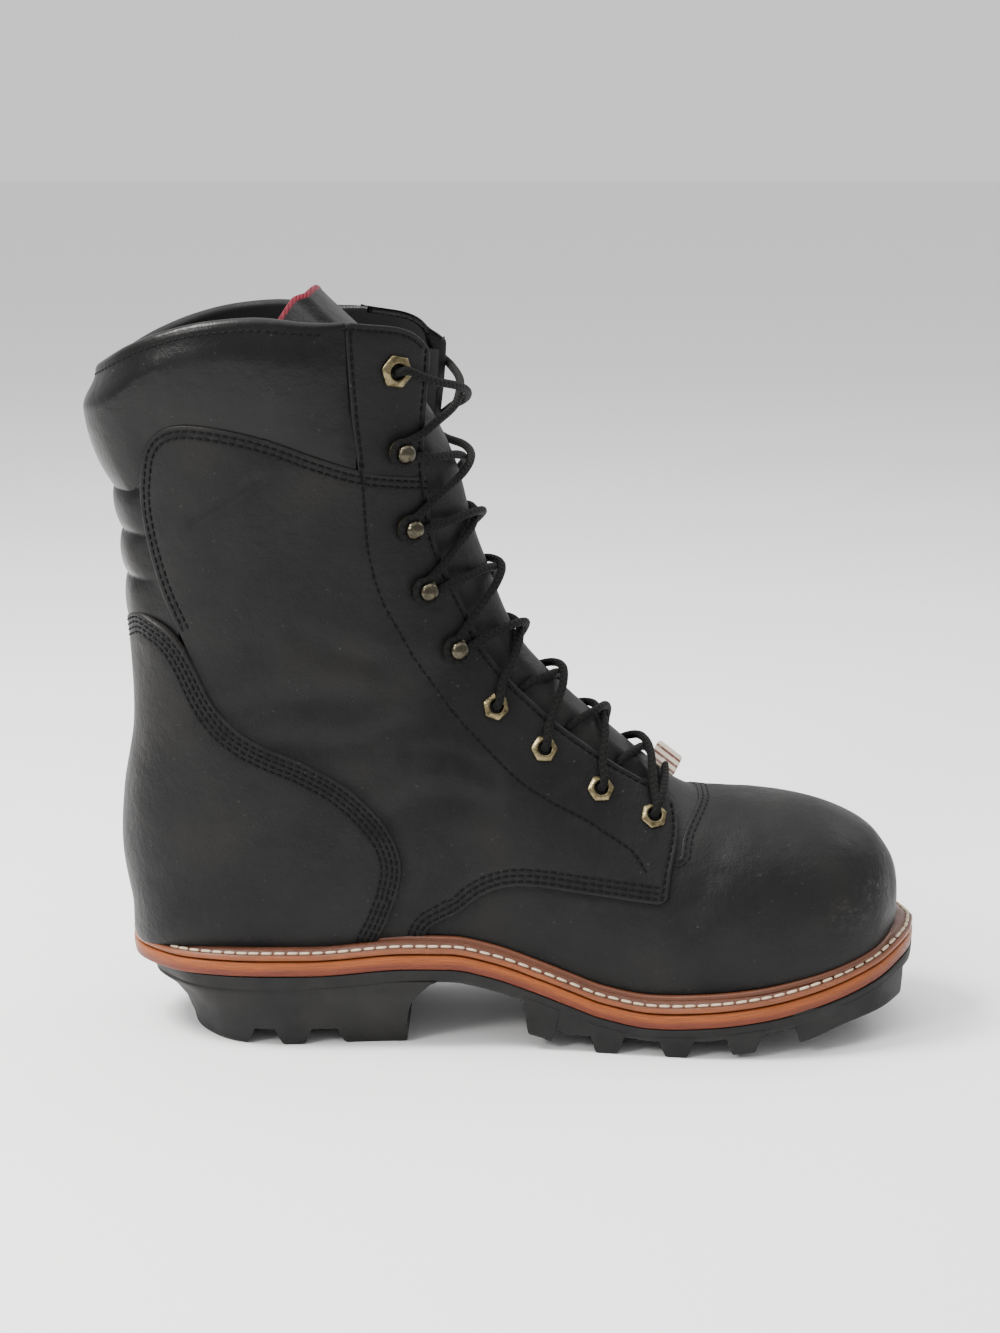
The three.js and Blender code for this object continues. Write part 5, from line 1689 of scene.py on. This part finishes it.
# Lacing
def lacing_place(row, side):
    """Foot point on the flap, normal, direction up the boot and direction to the throat."""
    _, station, inset = row
    angle = float(angle_at(station, side * throat_half(station)))
    travelled, step = 0.0, 0.004
    point = form_point(station, angle)
    while travelled < inset * EYELET_INSET:
        angle += side * step
        after = form_point(station, angle)
        travelled += float(np.linalg.norm(after - point))
        point = after
    normal = form_normal(station, angle)
    up = unit(form_slopes(station, angle)[0])
    up = unit(up - normal * (up @ normal))
    inward = np.cross(up, normal)
    inward = inward if inward[1] * side < 0 else -inward
    return point + normal * OVERLAY, normal, up, inward


def size_of(row):
    return TOP_EYELET_SCALE if row is LACING[-1] else 1


def turned_solid(foot, normal, up, profile, sides, corner=0.0, twist=0.0):
    """A turned shape from (radius, height) rings; corner makes it six-sided towards its rim."""
    other = np.cross(normal, up)
    angles = np.linspace(0, 2 * PI, sides, endpoint=False)
    sector = np.mod(angles + twist, PI / 3) - PI / 6
    hexagon = math.cos(PI / 6) / np.cos(sector)
    rings = []
    for radius, height, share in profile:
        reach = radius * mix(1.0, hexagon**0.9 * 1.03, share * corner)
        ring = up * np.cos(angles)[:, None] + other * np.sin(angles)[:, None]
        rings.append(foot + ring * reach[:, None] + normal * height)
    return np.concatenate(rings), grid_faces(len(profile), sides, closed=True)


def make_eyelet(number, row, side):
    foot, normal, up, _ = lacing_place(row, side)
    s = size_of(row)
    hole, flange = EYELET_HOLE * s, EYELET_FLANGE * s
    profile = [
        (hole + 0.1, -3.4, 0), (hole, -0.6, 0), (hole + 0.02, 0.5, 0), (hole + 0.2, 1.2, 0),
        (hole + 0.6, 1.65, 0), (hole + 1.1, 1.75, 0.1), (hole + 1.6, 1.6, 0.3),
        (flange - 0.9, 1.25, 0.9), (flange - 0.35, 1.0, 1), (flange, 0.6, 1), (flange, 0.1, 1),
        (flange - 0.5, -0.2, 1),
    ]
    points, faces = turned_solid(foot, normal, up, profile, 60, corner=1.0, twist=0.2 * number)
    name = f"eyelet_{SIDES[side]}_{number}"
    return add_mesh("brass_" + name, points, faces, [antique_brass], slot="brass"), name


# Hook profiles as (radius, height over the leather)
HOOK_PLATE = [
    (0.3, 0.9), (HOOK_NECK, 0.9), (3.3, 0.85), (4.0, 1.15), (4.6, 1.3), (5.0, 1.0),
    (HOOK_BASE + 0.1, 0.4), (HOOK_BASE, -0.2),
]
HOOK_BALL = [
    (HOOK_NECK, 0.8), (HOOK_NECK - 0.1, 2.6), (HOOK_NECK + 0.2, 3.3), (3.0, 3.7), (3.6, 4.4),
    (3.75, 5.1), (3.45, 5.9), (2.8, 6.6), (1.9, 7.05), (0.9, 7.3), (0.05, 7.36),
]


def make_hook(number, row, side):
    foot, normal, up, _ = lacing_place(row, side)
    name = f"hook_{SIDES[side]}_{number}"
    pieces = []
    kinds = (("base_", HOOK_PLATE, 48, dark_brass), ("head_", HOOK_BALL, 40, gunmetal))
    for label, profile, sides, made in kinds:
        rings = [(radius, height, 0) for radius, height in profile]
        points, faces = turned_solid(foot, normal, up, rings, sides)
        pieces.append(add_mesh(label + name, points, faces, [made], slot="gunmetal"))
    return pieces[0], name


def on_form(station, y, level):
    return over_form(station, angle_at(station, y), level)


# Heights of the lace's middle over the form, and the rise of the upper lace of a crossing
ON_FLAP = OVERLAY + LACE_RADIUS + 0.25
ON_TONGUE = LACE_RADIUS + 0.1
CROSSING_LIFT = 2 * LACE_RADIUS * 0.92


def crossing(lower, upper, side, over, under_flap):
    """Points of one run from a flap's edge over the tongue to the other flap."""
    at = lambda share: mix(lower, upper, share)
    half = lambda share: float(throat_half(at(share)))
    lift = CROSSING_LIFT if over else 0.0
    points = [
        on_form(at(0.14), side * (half(0.14) + 2.6), ON_FLAP),
        on_form(at(0.24), side * (half(0.24) - 2.5), ON_FLAP - 0.4 + 0.2 * lift),
        on_form(at(0.36), side * half(0.36) * 0.45, ON_TONGUE + 0.5 + 0.7 * lift),
        on_form(at(0.5), 0, ON_TONGUE + lift),
        on_form(at(0.64), -side * half(0.64) * 0.45, ON_TONGUE + 0.35 + 0.6 * lift),
    ]
    if under_flap:
        points += [
            on_form(at(0.8), -side * (half(0.8) - 3.5), ON_TONGUE - 1.4),
            on_form(at(0.9), -side * (half(0.9) + 1.5), -WALL - 1.0),
            on_form(at(1.0), -side * (half(1.0) + 6), -WALL - 1.2),
        ]
    else:
        points += [
            on_form(at(0.78), -side * (half(0.78) - 2.0), ON_FLAP - 0.2),
            on_form(at(0.88), -side * (half(0.88) + 3.0), ON_FLAP),
        ]
    return points


def out_of_eyelet(row, side):
    """Up through the eyelet's hole and over its rim towards the throat."""
    foot, normal, up, inward = lacing_place(row, side)
    s = size_of(row)
    return [
        foot - normal * 5.5,
        foot - normal * 1.5,
        foot + normal * 1.2 + inward * 0.4,
        foot + normal * 2.6 + inward * 2.6 * s + up * 0.5,
        foot + normal * 2.7 + inward * 5.6 * s + up * 1.3,
    ]


HOOK_LACE_REACH = 4.15
HOOK_LACE_LEVEL = 2.75


def round_hook(row, side):
    """Below the hook, round its heel side and away above it."""
    foot, normal, up, inward = lacing_place(row, side)
    points = []
    for degrees in (75, 115, 150, 180, 210, 245, 285):
        turn = math.radians(degrees)
        aside = inward * math.cos(turn) - up * math.sin(turn)
        points.append(foot + normal * HOOK_LACE_LEVEL + aside * HOOK_LACE_REACH)
    return points


LACE_STEP = 0.7


def smooth_path(points):
    """Even points on a smooth curve through points that may lie far apart or close together."""
    points = np.array(points)
    gaps = np.sqrt(np.linalg.norm(np.diff(points, axis=0), axis=1))
    knots = np.concatenate([[0], np.cumsum(gaps)])
    dense = []
    for i in range(len(points) - 1):
        p1, p2 = points[i], points[i + 1]
        p0 = points[i - 1] if i else 2 * p1 - p2
        p3 = points[i + 2] if i + 2 < len(points) else 2 * p2 - p1
        t0 = knots[i - 1] if i else knots[0] - gaps[0]
        t3 = knots[i + 2] if i + 2 < len(points) else knots[-1] + gaps[-1]
        t1, t2 = knots[i], knots[i + 1]
        m1 = (t2 - t1) * ((p1 - p0) / (t1 - t0) - (p2 - p0) / (t2 - t0) + (p2 - p1) / (t2 - t1))
        m2 = (t2 - t1) * ((p2 - p1) / (t2 - t1) - (p3 - p1) / (t3 - t1) + (p3 - p2) / (t3 - t2))
        for s in np.linspace(0, 1, 24, endpoint=False):
            dense.append(
                (2 * s**3 - 3 * s**2 + 1) * p1 + (s**3 - 2 * s**2 + s) * m1
                + (3 * s**2 - 2 * s**3) * p2 + (s**3 - s**2) * m2
            )
    dense.append(points[-1])
    return even_line(np.array(dense), LACE_STEP)


def make_laces():
    """All runs of the lace as one piece: a bar, the crossings and the turns round the hooks."""
    paths = []
    first = LACING[0][1] - 0.06
    outer, inner = out_of_eyelet(LACING[0], OUTER), out_of_eyelet(LACING[0], INNER)
    half = float(throat_half(first))
    bar = [on_form(first, side * (half + 1.5), ON_FLAP) for side in (OUTER, INNER)]
    bar.insert(1, on_form(first, 0, ON_TONGUE + 0.6))
    paths.append(outer[:4] + bar + inner[:4][::-1])
    eyelets = [row[0] for row in LACING].index("hook")
    for i in range(eyelets - 1):
        for side in (INNER, OUTER):
            over = (side == INNER) == (i % 2 == 0)
            run = crossing(LACING[i][1], LACING[i + 1][1], side, over, True)
            paths.append(out_of_eyelet(LACING[i], side)[:4] + run)
    for side in (INNER, OUTER):
        here = side
        run = out_of_eyelet(LACING[eyelets - 1], here)[:4]
        for i in range(eyelets - 1, len(LACING) - 1):
            over = (here == INNER) == (i % 2 == 0)
            lower, upper = LACING[i][1], LACING[i + 1][1]
            run += crossing(lower, upper, here, over, False)
            here = -here
            if LACING[i + 1][0] == "hook":
                run += round_hook(LACING[i + 1], here)
            else:
                run += out_of_eyelet(LACING[i + 1], here)[::-1][1:]
        paths.append(run)
    tubes = [tube(smooth_path(path), LACE_RADIUS, sides=12) for path in paths]
    return join_tubes("laces", tubes, braided_cord, "lace")


SQUARE = [(-1, -1), (1, -1), (1, 1), (-1, 1)]
KEEPER_LENGTH = 12
KEEPER_WIDTH = 11
KEEPER_THICK = 1.2
KEEPER_LEVEL = 4.45
KEEPER_TURN = 0.8


def keeper_material():
    """Plain enamel plate with dark bands across it."""
    light, dark = (0.5, 0.44, 0.34), (0.09, 0.018, 0.014)
    made, shader = material("enamel_plate", light, 0.3, coat=0.3)
    place = node(made, "ShaderNodeSeparateXYZ", {"Vector": attribute(made, "strip", "Vector")})
    wave = calculate(made, "SINE", calculate(made, "MULTIPLY", place.outputs["X"], 2 * PI / 3.4), 0.0)
    band = remap(made, wave, 0.25, 0.4, 0, 1)
    worn = calculate(made, "MULTIPLY", band, remap(made, noise(made, 700, 3), 0.3, 0.5, 0.6, 1))
    link(made, blend_colors(made, worn, light, dark), shader, "Base Color")
    link(made, bump(made, noise(made, 900, 3), 0.00008), shader, "Normal")
    return made


def make_keeper():
    """Small banded plate on the lowest bar of lace."""
    station = LACING[0][1]
    centre = on_form(station, 0, KEEPER_LEVEL)
    crest = form_normal(np.array(station), np.array(0.0))
    ahead = np.cross(crest, (0.0, 1.0, 0.0))
    up = unit(crest - np.array([0.0, KEEPER_TURN, 0.0]))
    across = np.cross(up, ahead)
    corners = [(KEEPER_LENGTH / 2 * u, KEEPER_WIDTH / 2 * v) for u, v in SQUARE]
    rim = np.array(rounded(corners, 1.6, 6))
    points, strip = [], []
    for height, size in ((-0.5, 0.93), (-0.35, 1), (0.3, 1), (0.5, 0.93), (0.42, 0.84), (0.42, 0.02)):
        for u, v in rim * size:
            points.append(centre + ahead * u + across * v + up * height * KEEPER_THICK)
            strip.append((v, u, 0))
    faces = grid_faces(6, len(rim), closed=True).tolist()
    faces.append(list(range(len(rim)))[::-1])
    values = {"strip": np.array(strip, float)}
    looks = [keeper_material()]
    return add_mesh("keeper_plate", np.array(points), faces, looks, values=values, slot="enamel")


# Stage, in metres
FLOOR_HALF = 14.0


def make_floor():
    corners = [(FLOOR_HALF * u, FLOOR_HALF * v, 0) for u, v in SQUARE]
    mesh = bpy.data.meshes.new("floor")
    mesh.from_pydata(corners, [], [(0, 1, 2, 3)])
    made, shader = material("pale_floor", (0.9, 0.9, 0.905), 0.75, specular=0.15)
    cloudy_roughness(made, shader, 3, 3, 0.7, 0.8)
    mesh.materials.append(made)
    floor = bpy.data.objects.new("floor", mesh)
    bpy.context.scene.collection.objects.link(floor)
    floor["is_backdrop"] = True


def facing(place, target):
    """Turn of a light or camera that looks from its place at a target."""
    return (Vector(target) - Vector(place)).to_track_quat("-Z", "Y").to_euler()


WHITE = (1, 1, 1)
WARM = (1, 0.98, 0.95)
ROOM_STRENGTH = 0.95
LIGHT_AIM = (0.07, 0, 0.13)

# Lights: name, place, size, power and colour
LIGHTS = [
    ("overhead", (0.0, -0.05, 1.5), (1.8, 1.6), 22, WHITE),
    ("high_left", (-0.6, -0.15, 1.2), (0.4, 0.4), 30, WARM),
    ("high_right", (0.85, 0.5, 0.85), (0.4, 0.4), 2.5, WHITE),
    ("front_left", (-0.72, -0.85, 0.81), (0.3, 0.3), 9, WARM),
]


def make_light(name, place, size, power, color):
    lamp = bpy.data.lights.new(name, "AREA")
    lamp.shape = "RECTANGLE"
    lamp.size, lamp.size_y = size
    lamp.energy = power
    lamp.color = color
    holder = bpy.data.objects.new(name, lamp)
    holder.location = place
    holder.rotation_euler = facing(place, LIGHT_AIM)
    bpy.context.scene.collection.objects.link(holder)


def make_lights():
    world_light = bpy.data.worlds.new("studio")
    world_light.use_nodes = True
    background = world_light.node_tree.nodes["Background"]
    background.inputs["Color"].default_value = (*WHITE, 1)
    background.inputs["Strength"].default_value = ROOM_STRENGTH
    bpy.context.scene.world = world_light
    for light in LIGHTS:
        make_light(*light)


# The camera stands where the photograph was taken from
CAMERA_PLACE = (0.0901, -0.9399, 0.3561)
CAMERA_AIM = (0.081, 0.0, 0.145)
CAMERA_LENS = 65.57


def make_camera():
    lens = bpy.data.cameras.new("camera")
    lens.sensor_fit = "VERTICAL"
    lens.sensor_height = 36
    lens.lens = CAMERA_LENS
    camera = bpy.data.objects.new("camera", lens)
    camera.location = CAMERA_PLACE
    camera.rotation_euler = facing(CAMERA_PLACE, CAMERA_AIM)
    bpy.context.scene.collection.objects.link(camera)
    bpy.context.scene.camera = camera


make_camera()
make_lights()
make_floor()

collar = make_collar()
upper_pieces = [
    collar, make_ribs(), make_vamp(), make_quarter(INNER), make_quarter(OUTER), make_counter(),
    make_facing(INNER), make_facing(OUTER), make_lining(),
]
for piece in upper_pieces:
    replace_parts(piece, "upper")
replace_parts(make_tongue(), "tongue")
make_thread(black_thread)
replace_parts(make_midsole(), "midsole")
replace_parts(make_welt(), "welt")
make_lip()
make_welt_stitches()
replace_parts(make_outsole(), "outsole")
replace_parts(make_heel(), "heel")
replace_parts(make_insole(), "insole")
for number, row in enumerate(LACING, 1):
    for side in (INNER, OUTER):
        if row[0] == "eyelet":
            eyelet, name = make_eyelet(number, row, side)
            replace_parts(eyelet, name)
        else:
            plate, name = make_hook(number, row, side)
            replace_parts(plate, name)
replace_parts(make_keeper(), "lace_keeper")
laces = make_laces()
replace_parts(laces, "lace_bar", *[f"lace_crossing_{k}" for k in range(1, 9)])

low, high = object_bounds()
sizes = {"cad": [list(cad_low), list(cad_high)], "visual": [list(low), list(high)]}
